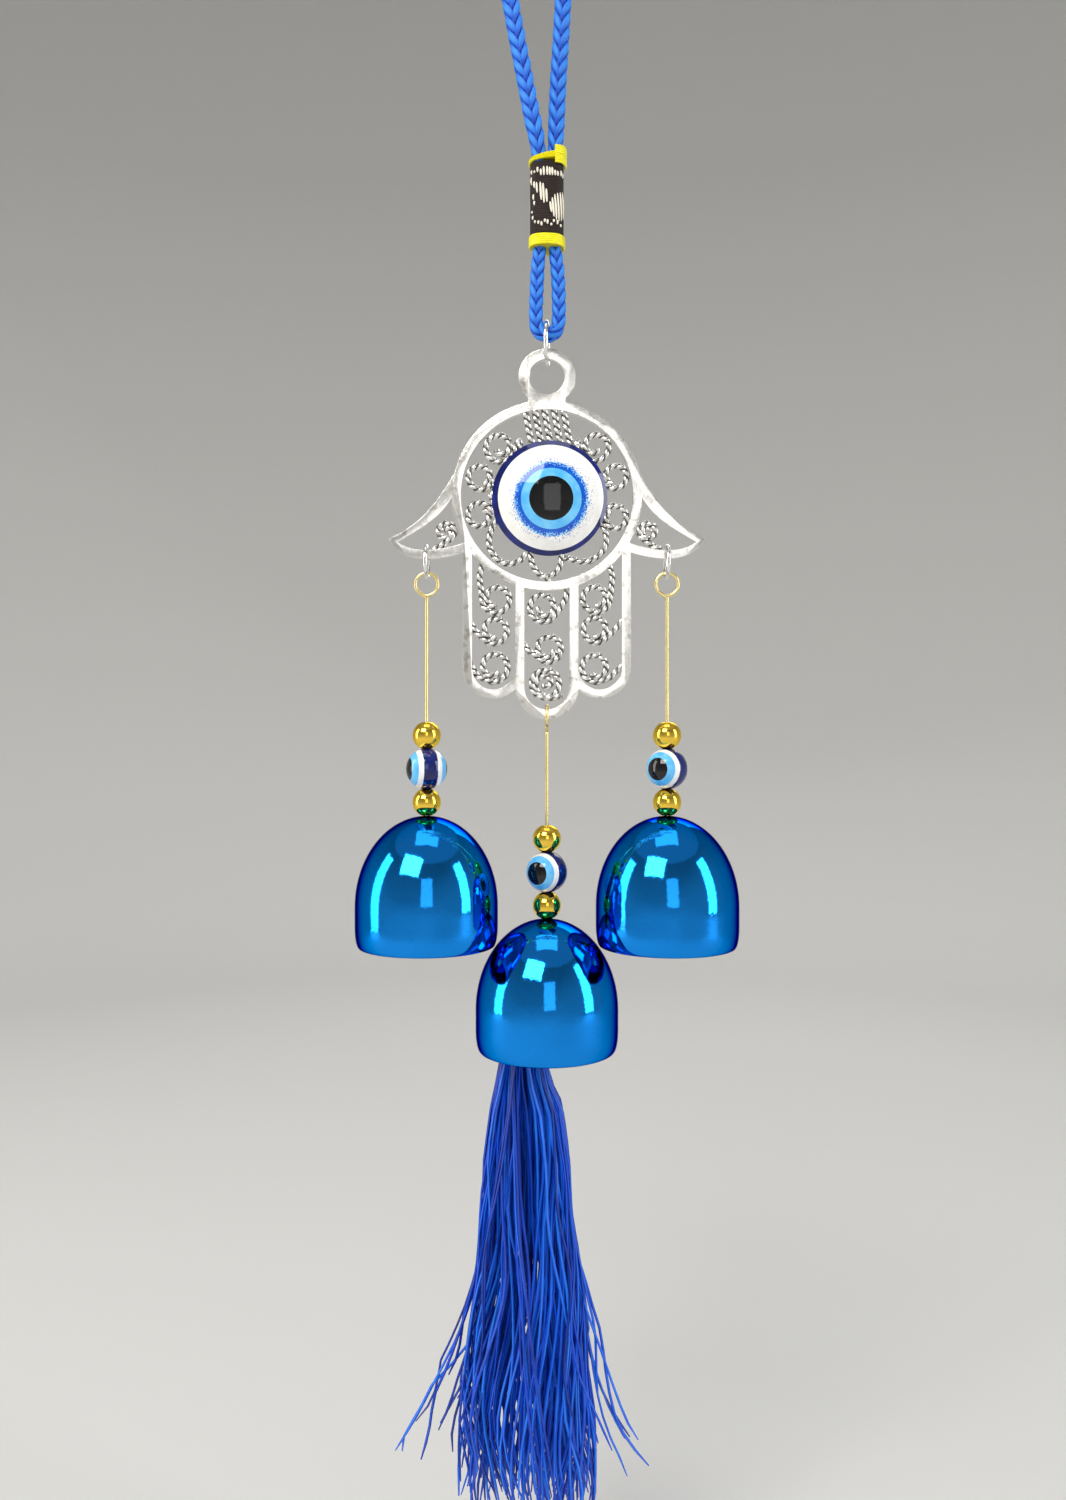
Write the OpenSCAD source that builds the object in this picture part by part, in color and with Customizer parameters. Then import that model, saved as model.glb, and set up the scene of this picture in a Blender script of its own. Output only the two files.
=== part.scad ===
// Evil eye hanging ornament: a braided cord loop, a cast hand with twisted-wire scrolls and a large
// glass eye, and three drops of wire, beads and bells. The middle bell carries a long thread tassel.
//
// The origin is where a hook bears, on the underside of the cord at the top of the hanging loop.
// +Z is up, -Y is the front, and the ornament hangs in the plane y = 0.

/* [Hanging cord] */
// Thickness of the braided cord of the hanging loop
cord_d = 5; // [4:0.1:5.2]
// Thickness of the braid where the load pulls it tight in the lower loop
bight_d = 4.2; // [3.4:0.1:4.3]
// Height of the thread wrap that binds the cord
wrap_h = 18.3; // [14:0.1:20]
// Width of the thread wrap
wrap_w = 8.9; // [8.6:0.1:11]
// Depth of the thread wrap, front to back
wrap_depth = 6.2; // [5.6:0.1:8]
// How far the yellow bands stand out round the wrap
band_proud = 0.4; // [0.2:0.1:0.8]
// Height of the upper yellow band
upper_band_h = 4.6; // [3:0.1:6]
// Height of the lower yellow band
lower_band_h = 3.4; // [2:0.1:5]

/* [Jump rings] */
// Wire of the three jump rings
ring_wire = 1.2; // [0.8:0.1:1.5]
// Inner diameter of the ring that joins cord and hand
top_ring_id = 9.4; // [9:0.1:12]
// How far the top ring is turned from edge-on
top_ring_turn = 4; // [0:1:25]
// Inner diameter of the rings on the thumbs
thumb_ring_id = 7; // [6.6:0.1:9]

/* [Hand] */
// Inner radius of the palm ring
palm_r = 22.9; // [18:0.1:29]
// Width of the cast bands, seen from the front
band_w = 2.4; // [1.8:0.1:3]
// Thickness of the casting, front to back
frame_t = 2; // [1.4:0.1:2.4]
// Hole of the hanger ring on top of the hand
hanger_id = 9.5; // [8:0.1:12]
// Width of the hanger ring's band
hanger_w = 2.8; // [2:0.1:3.4]
// How far the thumb tips reach from the centre line
thumb_reach = 42; // [39:0.5:52]
// Clear width of the side fingers
side_window_w = 11.5; // [9:0.1:14]
// Clear width of the middle finger
middle_window_w = 12; // [9:0.1:15]
// Depth of the side fingertips below the palm's ring
side_finger_l = 28.7; // [22:0.1:40]
// Depth of the middle fingertip below the palm's ring
middle_finger_l = 34.2; // [26:0.1:46]
// Twisted wire of the scrolls
scroll_wire = 1.3; // [1:0.1:1.6]

/* [Glass eye] */
// Diameter of the glass eye
eye_d = 30.8; // [24:0.1:34]
// Height of its dome
eye_h = 4.6; // [3:0.1:6]
// Diameter of the white
white_d = 28; // [22:0.1:28.6]
// Diameter of the speckled deep blue ring
blue_ring_d = 19.6; // [17:0.1:20.6]
// Diameter of the light blue disc
iris_d = 16; // [13:0.1:16.6]
// Diameter of the pupil
pupil_d = 11.6; // [8:0.1:12.4]
// Depth of each coloured layer of glass
layer_t = 0.9; // [0.5:0.1:1.4]
// Thickness of the seat behind the eye
seat_t = 1.3; // [0.8:0.1:2]

/* [Eye pins] */
// Wire of the eye pins
pin_wire = 0.9; // [0.6:0.1:1.2]
// Outer width of the loop at the top of each pin
pin_loop_w = 6.9; // [6.3:0.1:8.5]
// Outer width of the loop inside each bell
inner_loop_w = 5; // [4.6:0.1:6]
// Bare wire between loop and beads on the side pins
side_bare_l = 33.8; // [20:0.1:45]

/* [Beads] */
// Diameter of the gold beads
gold_d = 7.5; // [6:0.1:9]
// Height of the gold beads
gold_h = 7; // [5.4:0.1:8.4]
// Diameter of the eye beads
eye_bead_d = 11; // [9:0.1:13]
// Height of the eye beads
eye_bead_h = 10.6; // [8.4:0.1:12.6]
// Bore of every bead
bead_bore = 1.6; // [1.4:0.1:2.2]
// Gap between pieces that rest on each other on a pin
rest_gap = 0.1; // [0.05:0.05:0.2]

/* [Bells] */
// Widest diameter of the bells
bell_d = 38; // [30:0.5:46]
// Height of the bells
bell_h = 34.7; // [28:0.5:42]
// Thickness of the bell wall
bell_wall = 0.8; // [0.6:0.1:1.2]
// Bore in the crown of the bells
bell_bore = 1.4; // [1.3:0.1:2]
// Gap between the side bells' rims and the middle bell
bell_gap = 0.6; // [0.5:0.1:4]
// Diameter of the clapper balls
clapper_d = 7; // [5:0.5:8]
// Wire of the clappers
clapper_wire = 0.8; // [0.6:0.1:1]
// Distance from the clapper's pivot to the middle of its ball
clapper_l = 21; // [17:0.5:23]

/* [Tassel] */
// Thickness of the thread loop that holds the tassel
tie_d = 1.2; // [0.8:0.1:1.4]
// Diameter of the bound head of the tassel
tassel_head_d = 8; // [6:0.5:11]
// Height of the bound head of the tassel
tassel_head_h = 9; // [6:0.5:12]
// Length of the threads below the head
tassel_l = 142; // [100:1:160]

/* [Hidden] */
$fn = 48;

// Colours
cord_blue = "#1d6ee0";
thread_yellow = "#f2e60f";
wrap_brown = "#2a1d18";
silver = "#b8b6b0";
gold = "#d8b45a";
navy = "#0d1f5c";
white = "#f2f0ea";
light_blue = "#74c7f2";
deep_blue = "#0f4fb5";
black = "#0b0b0d";
bell_blue = "#1671b0";
tassel_blue = "#0b3fb5";

// Clearance of a wire loop that hangs on another wire, and of one that hangs on a cast band
link_gap = 0.15;
band_gap = 0.3;
// Clearance of the top ring in the bend of the cord
cord_gap = 0.4;
// Overlap that joins two pieces of one casting, or threads and what they bind
bite = 0.3;

// The cord hangs over a hook at the origin; each point is x, y, z and the share of full thickness
// that the braid keeps there, which is less where the wrap squeezes it
LOOP_ROUTE = [
  [1.9, -0.6, -74, 0.76], [1.8, -0.6, -68, 0.76], [1.2, -0.7, -62, 0.9], [0, -0.7, -56, 1],
  [-1.9, -0.6, -46, 1], [-4, -0.4, -35, 1], [-6.2, -0.2, -23, 1], [-8, 0, -14, 1],
  [-9.4, 0, -6.5, 1], [-8.8, 0, -3.2, 1], [-6.7, 0, -0.2, 1], [-3.6, 0, 1.8, 1], [0, 0, 2.5, 1],
  [3.6, 0, 1.8, 1], [6.7, 0, -0.2, 1], [8.8, 0, -3.2, 1], [9.4, 0, -6.5, 1],
  [8.8, 0, -14, 1], [8.1, 0.2, -23, 1], [7.4, 0.4, -35, 1], [6.7, 0.6, -46, 1],
  [6.3, 0.7, -56, 1], [6, 0.7, -62, 0.9], [5.6, 0.6, -68, 0.76], [5.5, 0.6, -74, 0.76]
];
BIGHT_ROUTE = [
  [2, 0, -79, 0.8], [2, 0, -84, 0.8], [1.8, 0, -89, 0.9], [1.2, 0, -96, 1], [0.9, 0, -103, 1],
  [0.8, 0, -108, 1], [1.1, 0, -110.8, 1], [2, 0, -112.2, 1], [3.7, 0, -112.8, 1],
  [5.4, 0, -112.2, 1], [6.5, 0, -110.8, 1], [6.9, 0, -108, 1], [6.9, 0, -103, 1],
  [6.6, 0, -96, 1], [5.8, 0, -89, 0.9], [5.4, 0, -84, 0.8], [5.4, 0, -79, 0.8]
];
bight_z = -112.8;
// The load hangs on this line
hang_x = 3.7;
wrap_top_z = -68.4;
cord_sides = 8;

// Top jump ring: it hangs in the bight, and the hand hangs on it
top_ring_r = (top_ring_id + ring_wire) / 2;
top_ring_z = bight_z + bight_d / 2 + cord_gap - top_ring_id / 2;
hanger_r = hanger_id / 2 + hanger_w;
hand_pivot_z = top_ring_z - top_ring_r;
hanger_z = hand_pivot_z + ring_wire / 2 + band_gap - hanger_id / 2;

// Hand
palm_out_r = palm_r + band_w;
// Depths of the fingertips below the palm's centre
side_tip = palm_out_r + side_finger_l;
middle_tip = palm_out_r + middle_finger_l;
neck_w = 10;
hanger_sink = 1.3;
palm_z = hanger_z - hanger_r + hanger_sink - palm_out_r;
middle_half_w = middle_window_w / 2;
side_mid_x = middle_half_w + band_w + side_window_w / 2;
fingertip_extra = 0.2;
// Thumb outlines as Bezier curves, from the centre of the palm: upper and lower outer edge, then
// the upper and lower edge of the window
thumb_tip = [-thumb_reach, -11.6];
THUMB_TOP = [[-13, 20.4], [-24, 14.5], [-25, -4.5], thumb_tip];
THUMB_BOTTOM = [thumb_tip, thumb_tip + [3, -6.4], [-30, -18], [-20.6, -14.6]];
window_tip = thumb_tip + [2.3, -0.8];
WINDOW_TOP = [[-24.6, 0.6], [-28, -6], [-33, -8.4], window_tip];
WINDOW_BOTTOM = [window_tip, window_tip + [3.8, -2.9], [-29, -15.4], [-20.4, -12]];
thumb_steps = 12;
// Share of the palm that the outlines above were drawn for
thumb_scale = palm_out_r / 25.3;
// Place along the lower band where the thumb rings hang
ring_place = 0.49;

// Bezier curve, as a point and as a list of points
function bezier(p, t) =
  pow(1 - t, 3) * p[0] + 3 * pow(1 - t, 2) * t * p[1] + 3 * (1 - t) * t * t * p[2] + pow(t, 3) * p[3];
function reversed(p) = [for (i = [len(p) - 1:-1:0]) p[i]];
function curve(p, n) = [for (i = [0:n]) bezier(p, i / n)];
function scaled(p) = [for (q = p) [q[0] < -0.95 * thumb_reach ? q[0] : q[0] * thumb_scale,
                                   q[1] * thumb_scale]];

// Thumb rings and side drops
band_top = bezier(scaled(WINDOW_BOTTOM), ring_place);
drop_x = -band_top[0];
band_top_z = palm_z + band_top[1];
thumb_band_h = 2.4;
thumb_pivot_z = band_top_z - thumb_band_h / 2;
half_t = frame_t / 2;
function seat_depth(r) = sqrt(r * r - half_t * half_t);
thumb_ring_r = (thumb_ring_id + ring_wire) / 2;
thumb_ring_z = band_top_z + band_gap - seat_depth(thumb_ring_id / 2);
side_pin_z = thumb_ring_z - thumb_ring_r;
pin_loop_r = (pin_loop_w - pin_wire) / 2;
side_loop_z = side_pin_z + ring_wire / 2 + link_gap + pin_wire / 2 - pin_loop_r;
inner_loop_r = (inner_loop_w - pin_wire) / 2;

// Bead stack and bells, measured down from the top of the upper bead
stack_h = 2 * gold_h + eye_bead_h + 3 * rest_gap;
side_stack_z = side_loop_z - pin_loop_r - side_bare_l;
side_bell_z = side_stack_z - stack_h;
side_rim_z = side_bell_z - bell_h;
// The dome is half an ellipse down to the widest place, and the rim turns in below it
bell_r = bell_d / 2;
dome_h = bell_h * 0.69;
rim_r = bell_r * 0.94;
rim_turn_h = bell_h * 0.16;
dome_steps = 14;
rim_steps = 4;
// Depth at which the middle dome is as wide as the side rims allow
free_r = min(drop_x - rim_r - bell_gap, bell_r * 0.98);
nest_depth = dome_h * (1 - sqrt(1 - pow(free_r / bell_r, 2)));
middle_bell_z = side_rim_z + min(nest_depth, bell_h * 0.4);
middle_stack_z = middle_bell_z + stack_h;

// Middle pin: its loop goes round the middle fingertip's band
fingertip_in_z = palm_z - middle_tip + band_w + fingertip_extra;
middle_loop_z = fingertip_in_z + band_gap - seat_depth(pin_loop_r - pin_wire / 2);
middle_pivot_z = fingertip_in_z - band_w / 2;

// Clappers and tassel, from the crown of a bell
inner_loop_drop = bell_wall + link_gap + pin_wire / 2 + inner_loop_r;
link_drop = inner_loop_drop + inner_loop_r;
clapper_loop_r = 1.6;
tie_loop_r = 1.9;

// The threads leave the bell to the left of its middle and spread below it: offset to the side,
// depth below the head as a share of the threads' length, and radius
TASSEL_SHAPE = [
  [0, 0, 3.6], [-3, 0.05, 4.4], [-6.2, 0.11, 6], [-6.4, 0.16, 6.8], [-5.4, 0.22, 9.8], [-5.4, 0.32, 11.8],
  [-5.6, 0.42, 12.6], [-4.6, 0.54, 14.4], [-4.8, 0.67, 17], [-5.2, 0.8, 18.5], [-5.4, 0.93, 18.5],
  [-5.4, 1, 15]
];
tassel_flat = 0.72;
tassel_sides = 12;

// Eye beads: half-angles of the pupil, the light blue and the white about the eye's axis
pupil_a = 33;
iris_a = 55;
white_a = 70;
dot_t = 0.6;
left_look = 19;
middle_look = 55;
right_look = 51;

// One tube through a list of points x, y, z, share; the first and last ring are level
function unit(v) = v / norm(v);
function heading(p, i) =
  let (a = p[max(i - 1, 0)], b = p[min(i + 1, len(p) - 1)]) unit([b[0] - a[0], b[1] - a[1], b[2] - a[2]]);
function tube_ring(p, i, d, sides) =
  let (t = heading(p, i), side = unit(cross(t, [0, 1, 0])), up = cross(side, t), r = p[i][3] * d / 2)
  [for (k = [0:sides - 1]) let (a = 360 * k / sides)
    [p[i][0], p[i][1], p[i][2]] + r * (cos(a) * side + sin(a) * up)];
function tube_points(p, d, sides) = [for (i = [0:len(p) - 1]) each tube_ring(p, i, d, sides)];
function tube_faces(n, sides) = concat(
  [[for (k = [0:sides - 1]) k]],
  [for (i = [0:n - 2], k = [0:sides - 1])
    [i * sides + k, (i + 1) * sides + k, (i + 1) * sides + (k + 1) % sides, i * sides + (k + 1) % sides]],
  [[for (k = [0:sides - 1]) n * sides - 1 - k]]);
module tube(p, d, sides) {
  polyhedron(points = tube_points(p, d, sides), faces = tube_faces(len(p), sides), convexity = 8);
}

// A drawing in the plane of the hand, stood upright and facing the front
module upright() rotate([90, 0, 0]) children();
// A closed wire ring, by default in the plane of the hand; turn = 90 sets it edge-on
module wire_ring(r, d, turn = 0) {
  rotate([90, 0, turn]) rotate_extrude() translate([r, 0]) circle(d = d, $fn = 24);
}
// A bent wire in the plane of the hand
module wire_arc(centre, r, from, to, d) {
  translate([centre[0], 0, centre[1]]) upright() rotate(from)
    rotate_extrude(angle = to - from) translate([r, 0]) circle(d = d, $fn = 24);
}
// A straight wire in the plane of the hand
module wire_rod(a, b, d) {
  step = b - a;
  translate([a[0], 0, a[1]]) rotate([0, atan2(step[0], step[1]), 0])
    cylinder(h = norm(step), d = d, $fn = 24);
}
// A post with round ends, as two strands side by side fill it
module oval_post(w, depth, h) {
  linear_extrude(h) {
    for (side = [-1, 1]) translate([side * (w - depth) / 2, 0]) circle(d = depth);
    square([w - depth, depth], center = true);
  }
}
// A sleeve of thread round the two squeezed strands of the cord
sleeve_t = 0.7;
module thread_sleeve(proud, h, top_z) {
  bore_w = wrap_w - 2 * sleeve_t;
  translate([hang_x, 0, top_z - h]) difference() {
    oval_post(wrap_w + 2 * proud, wrap_depth + 2 * proud, h);
    translate([0, 0, -1]) oval_post(bore_w, wrap_depth - 2 * sleeve_t, h + 2);
  }
}

module hanging_loop_cord() color(cord_blue) tube(LOOP_ROUTE, cord_d, cord_sides);
module lower_loop_cord() color(cord_blue) tube(BIGHT_ROUTE, bight_d, cord_sides);
module upper_band() color(thread_yellow) thread_sleeve(band_proud, upper_band_h, wrap_top_z + upper_band_h);
module thread_wrap() color(wrap_brown) thread_sleeve(0, wrap_h, wrap_top_z);
module lower_band() color(thread_yellow) thread_sleeve(band_proud, lower_band_h, wrap_top_z - wrap_h);

module top_jump_ring() color(silver) translate([hang_x, 0, top_ring_z])
  wire_ring(top_ring_r, ring_wire, 90 - top_ring_turn);

// Outline of one finger below the palm, grown by a margin
module finger(mid_x, half_w, tip, margin) {
  r = half_w + margin;
  translate([mid_x, -tip + half_w]) circle(r);
  translate([mid_x - r, -tip + half_w]) square([2 * r, tip - half_w]);
}
module fingers(margin, extra = 0) {
  for (side = [-1, 1])
    finger(side * side_mid_x, side_window_w / 2, side_tip - band_w, margin);
  finger(0, middle_half_w, middle_tip - band_w - extra, margin);
}
// The outlines are drawn for the left thumb, side = -1, and turned over for the right one, side = 1
function on_side(p, side) = side < 0 ? p : [for (q = reversed(p)) [-q[0], q[1]]];
module thumb_outline(side) polygon(on_side(concat(
  curve(scaled(THUMB_TOP), thumb_steps), curve(scaled(THUMB_BOTTOM), thumb_steps), [[0, 0]]), side));
module thumb_window(side) polygon(on_side(concat(
  curve(scaled(WINDOW_TOP), thumb_steps), curve(scaled(WINDOW_BOTTOM), thumb_steps), [[-palm_r, 0]]), side));
// The hand seen from the front: open fingers and thumbs, then the palm and hanger over them
module hand_plan() {
  difference() {
    union() {
      difference() {
        union() {
          fingers(band_w);
          for (side = [-1, 1]) thumb_outline(side);
        }
        fingers(0, fingertip_extra);
        for (side = [-1, 1]) thumb_window(side);
      }
      circle(palm_out_r, $fn = 96);
      translate([0, hanger_z - palm_z]) circle(hanger_r);
      translate([-neck_w / 2, palm_out_r - 1]) square([neck_w, 2]);
    }
    circle(palm_r, $fn = 96);
    translate([0, hanger_z - palm_z]) circle(hanger_id / 2);
  }
}
module hamsa_frame() color(silver) translate([hang_x, 0, palm_z]) upright()
  linear_extrude(frame_t, center = true) hand_plan();

// Scrolls fill the room between the eye and the palm ring
eye_r = eye_d / 2;
seat_r = eye_r - 0.4;
scroll_room = palm_r - seat_r;
scroll_r = (scroll_room - scroll_wire) / 2 + bite;
// A tail is thinner than the scroll it leaves
tail_wire = 0.9 * scroll_wire;
scroll_mid = (palm_r + seat_r) / 2;
PALM_SCROLL_ANGLES = [47, 18.5, -17.5];
strand_count = 5;
strand_pitch = 2.1;
strand_lean = 1.2;
// The straight strands over the eye are thicker than the scrolls
bundle_wire = 1.2 * scroll_wire;
// Open curls under the eye: the two at the sides and the one in the middle
side_curl_r = 1.9 * scroll_r;
low_curl_r = 1.4 * scroll_r;
low_curl = [0, -seat_r - 1.8];
module palm_filigree() color(silver) translate([hang_x, 0, palm_z]) {
  for (side = [0, 1]) mirror([side, 0, 0]) {
    for (a = PALM_SCROLL_ANGLES)
      wire_arc(scroll_mid * [cos(a), sin(a)], scroll_r, a - 150, a + 170, scroll_wire);
    wire_arc((seat_r - 0.2) * [cos(-52), sin(-52)], side_curl_r, -125, 37, scroll_wire);
  }
  wire_arc(low_curl, low_curl_r, 165, 375, scroll_wire);
  wire_rod(low_curl - [0, low_curl_r], [0, -palm_r - bite], tail_wire);
  for (i = [0:strand_count - 1]) {
    x = (i - (strand_count - 1) / 2) * strand_pitch;
    reach = sqrt(palm_r * palm_r - x * x) + bite;
    wire_rod([x + strand_lean, seat_r - 1], [x - strand_lean / 2, reach], bundle_wire);
  }
}

// A scroll is a ring of wire with a tail that runs to a band
module scroll(centre, r, tail) {
  wire_arc(centre, r, 0, 360, scroll_wire);
  step = tail - centre;
  away = atan2(step[1], step[0]);
  lean = acos(min(1, r / norm(step))) / 2;
  start = centre + r * [cos(away + lean), sin(away + lean)];
  wire_rod(start, tail, tail_wire);
}
// Where the three scrolls of a finger sit, as shares of its length below the palm's ring
SIDE_SCROLLS = [0.06, 0.352, 0.718];
MIDDLE_SCROLLS = [0.13, 0.435, 0.73];
side_wall_x = side_mid_x + side_window_w / 2;
module side_finger_filigree() {
  r = side_window_w * 0.31;
  for (i = [0:2]) {
    z = -palm_out_r - side_finger_l * SIDE_SCROLLS[i];
    tail_z = z + (i == 0 ? 2.1 * r : 0.6 * r);
    scroll([side_mid_x - 0.3, z], r, [side_wall_x + bite, tail_z]);
  }
}
module left_finger_filigree() color(silver) translate([hang_x, 0, palm_z])
  mirror([1, 0, 0]) side_finger_filigree();
module right_finger_filigree() color(silver) translate([hang_x, 0, palm_z]) side_finger_filigree();
module middle_finger_filigree() color(silver) translate([hang_x, 0, palm_z]) {
  r = middle_window_w * 0.31;
  for (i = [0:2]) {
    z = -palm_out_r - middle_finger_l * MIDDLE_SCROLLS[i];
    side = i == 1 ? -1 : 1;
    scroll([0, z], r, [side * (middle_half_w + bite), z + 0.8 * r]);
  }
}
thumb_scroll_r = 2.3;
module thumb_filigree() {
  floor_z = bezier(scaled(WINDOW_BOTTOM), 0.82)[1];
  x = bezier(scaled(WINDOW_BOTTOM), 0.82)[0];
  tail = bezier(scaled(WINDOW_BOTTOM), 0.6);
  scroll([x, floor_z + thumb_scroll_r + scroll_wire / 2 - bite], thumb_scroll_r, tail + [0, -bite]);
}
module left_thumb_filigree() color(silver) translate([hang_x, 0, palm_z]) thumb_filigree();
module right_thumb_filigree() color(silver) translate([hang_x, 0, palm_z])
  mirror([1, 0, 0]) thumb_filigree();

// The eye is a dome of glass; coloured layers lie under its surface, one inside the other
seat_front = -bundle_wire / 2 - 0.05;
dome_r = (eye_r * eye_r + eye_h * eye_h) / (2 * eye_h);
module eye_dome(sink = 0) {
  intersection() {
    translate([0, seat_front - sink + dome_r - eye_h, 0]) sphere(dome_r, $fn = 128);
    translate([0, seat_front, 0]) rotate([90, 0, 0]) cylinder(h = eye_h + 1, r = eye_r, $fn = 96);
  }
}
module eye_rod(d, shift) translate([shift[0], 2, shift[1]]) rotate([90, 0, 0])
  cylinder(h = eye_h + 6, d = d, $fn = 96);
module eye_layer(outer, outer_shift, inner, inner_shift) {
  difference() {
    intersection() {
      eye_dome();
      eye_rod(outer, outer_shift);
    }
    eye_dome(-layer_t);
    if (inner > 0) eye_rod(inner, inner_shift);
  }
}
// The eye sits a little off the palm's centre, and its painted rings a little off the eye's
eye_shift = [0.7, -0.7];
white_shift = [0.3, -0.1];
iris_shift = [0.4, -0.9];
module in_hand() translate([hang_x + eye_shift[0], 0, palm_z + eye_shift[1]]) children();
module eye_seat() color(silver) in_hand() translate([0, seat_front + seat_t, 0])
  rotate([90, 0, 0]) cylinder(h = seat_t, r = seat_r, $fn = 96);
module eye_base() color(navy) in_hand() difference() {
  eye_dome();
  difference() {
    eye_rod(white_d, white_shift);
    eye_dome(-layer_t);
  }
}
module eye_white() color(white) in_hand() eye_layer(white_d, white_shift, blue_ring_d, iris_shift);
module eye_blue_ring() color(deep_blue) in_hand()
  eye_layer(blue_ring_d, iris_shift, iris_d, iris_shift);
module eye_iris() color(light_blue) in_hand() eye_layer(iris_d, iris_shift, pupil_d, iris_shift);
module eye_pupil() color(black) in_hand() eye_layer(pupil_d, iris_shift, 0, iris_shift);

// Side drops: everything below is placed for the left or right thumb, or the middle fingertip
left_x = hang_x - drop_x;
right_x = hang_x + drop_x;
module thumb_ring(x) color(silver) translate([x, 0, thumb_ring_z]) wire_ring(thumb_ring_r, ring_wire, 90);
// A pin with a loop at each end; the top loop can be edge-on
module eye_pin(x, loop_z, loop_turn, bell_z) color(gold) translate([x, 0, 0]) {
  translate([0, 0, loop_z]) wire_ring(pin_loop_r, pin_wire, loop_turn);
  inner_z = bell_z - inner_loop_drop;
  translate([0, 0, inner_z]) wire_ring(inner_loop_r, pin_wire);
  foot = inner_z + inner_loop_r;
  translate([0, 0, foot]) cylinder(h = loop_z - pin_loop_r - foot, d = pin_wire, $fn = 24);
}
module bead_blank(d, h) difference() {
  intersection() {
    sphere(d = d);
    cube([2 * d, 2 * d, h], center = true);
  }
  cylinder(h = 2 * d, d = bead_bore, center = true, $fn = 32);
}
module gold_bead(x, z) color(gold) translate([x, 0, z]) bead_blank(gold_d, gold_h);
// One ring-shaped dot of glass, between two half-angles about +X
module glass_dot(from, to, proud) {
  far = 2 * eye_bead_d;
  rotate([0, 90, 0]) intersection() {
    difference() {
      sphere(r = eye_bead_d / 2 + proud);
      sphere(r = eye_bead_d / 2 - dot_t);
    }
    rotate_extrude() polygon([[0, 0], far * [sin(from), cos(from)], far * [sin(to), cos(to)]]);
  }
}
module dot_pair(look, from, to, proud = 0) {
  for (turn = [0, 180]) rotate([0, 0, look + turn]) glass_dot(from, to, proud);
}
module bead_dots(x, stack_z, look, from, to) translate([x, 0, stack_z - gold_h - rest_gap - eye_bead_h / 2])
  dot_pair(look, from, to);
module eye_bead(x, stack_z, look) color(navy) translate([x, 0, stack_z - gold_h - rest_gap - eye_bead_h / 2])
  rotate([0, 0, look]) difference() {
    rotate([0, 0, 90]) bead_blank(eye_bead_d, eye_bead_h);
    dot_pair(0, 0, white_a, 1);
  }
function upper_bead_z(stack_z) = stack_z - gold_h / 2;
function lower_bead_z(stack_z) = stack_z - stack_h + rest_gap + gold_h / 2;

function dome_radius(depth) = bell_r * sqrt(1 - pow((dome_h - depth) / dome_h, 2));
function bell_side(shrink) = concat(
  [for (i = [1:dome_steps]) let (a = 90 * i / dome_steps)
    [(bell_r - shrink) * sin(a), -dome_h + (dome_h - shrink) * cos(a)]],
  [[bell_r - shrink, -bell_h + rim_turn_h]],
  [for (i = [1:rim_steps]) let (a = 90 * i / rim_steps)
    [rim_r - shrink + (bell_r - rim_r) * cos(a), -bell_h + rim_turn_h * (1 - sin(a))]]);
module bell(x, z) color(bell_blue) translate([x, 0, z]) rotate_extrude($fn = 96)
  polygon(concat(
    [[bell_bore / 2, 0]], bell_side(0), reversed(bell_side(bell_wall)), [[bell_bore / 2, -bell_wall]]));
// A clapper hangs by its loop on the pin's inner loop
clapper_loop_gap = link_gap + (pin_wire + clapper_wire) / 2;
module clapper_wire_part(x, bell_z) color(gold) {
  loop_z = bell_z - link_drop + clapper_loop_gap - clapper_loop_r;
  ball_top_z = bell_z - link_drop - clapper_l + clapper_d / 2 - bite;
  translate([x, 0, loop_z]) wire_ring(clapper_loop_r, clapper_wire, 90);
  translate([x, 0, ball_top_z])
    cylinder(h = loop_z - clapper_loop_r - ball_top_z, d = clapper_wire, $fn = 24);
}
module clapper_ball(x, bell_z) color(silver) translate([x, 0, bell_z - link_drop - clapper_l]) difference() {
  sphere(d = clapper_d);
  translate([0, 0, clapper_d / 2 - bite]) cylinder(h = 1, d = clapper_wire, $fn = 24);
}

module left_thumb_ring() thumb_ring(left_x);
module left_eye_pin() eye_pin(left_x, side_loop_z, 0, side_bell_z);
module left_upper_bead() gold_bead(left_x, upper_bead_z(side_stack_z));
module left_eye_bead() eye_bead(left_x, side_stack_z, left_look);
module left_bead_whites() color(white) bead_dots(left_x, side_stack_z, left_look, iris_a, white_a);
module left_bead_irises() color(light_blue) bead_dots(left_x, side_stack_z, left_look, pupil_a, iris_a);
module left_bead_pupils() color(black) bead_dots(left_x, side_stack_z, left_look, 0, pupil_a);
module left_lower_bead() gold_bead(left_x, lower_bead_z(side_stack_z));
module left_bell() bell(left_x, side_bell_z);
module left_clapper_wire() clapper_wire_part(left_x, side_bell_z);
module left_clapper_ball() clapper_ball(left_x, side_bell_z);

module right_thumb_ring() thumb_ring(right_x);
module right_eye_pin() eye_pin(right_x, side_loop_z, 0, side_bell_z);
module right_upper_bead() gold_bead(right_x, upper_bead_z(side_stack_z));
module right_eye_bead() eye_bead(right_x, side_stack_z, right_look);
module right_bead_whites() color(white) bead_dots(right_x, side_stack_z, right_look, iris_a, white_a);
module right_bead_irises() color(light_blue) bead_dots(right_x, side_stack_z, right_look, pupil_a, iris_a);
module right_bead_pupils() color(black) bead_dots(right_x, side_stack_z, right_look, 0, pupil_a);
module right_lower_bead() gold_bead(right_x, lower_bead_z(side_stack_z));
module right_bell() bell(right_x, side_bell_z);
module right_clapper_wire() clapper_wire_part(right_x, side_bell_z);
module right_clapper_ball() clapper_ball(right_x, side_bell_z);

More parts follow.
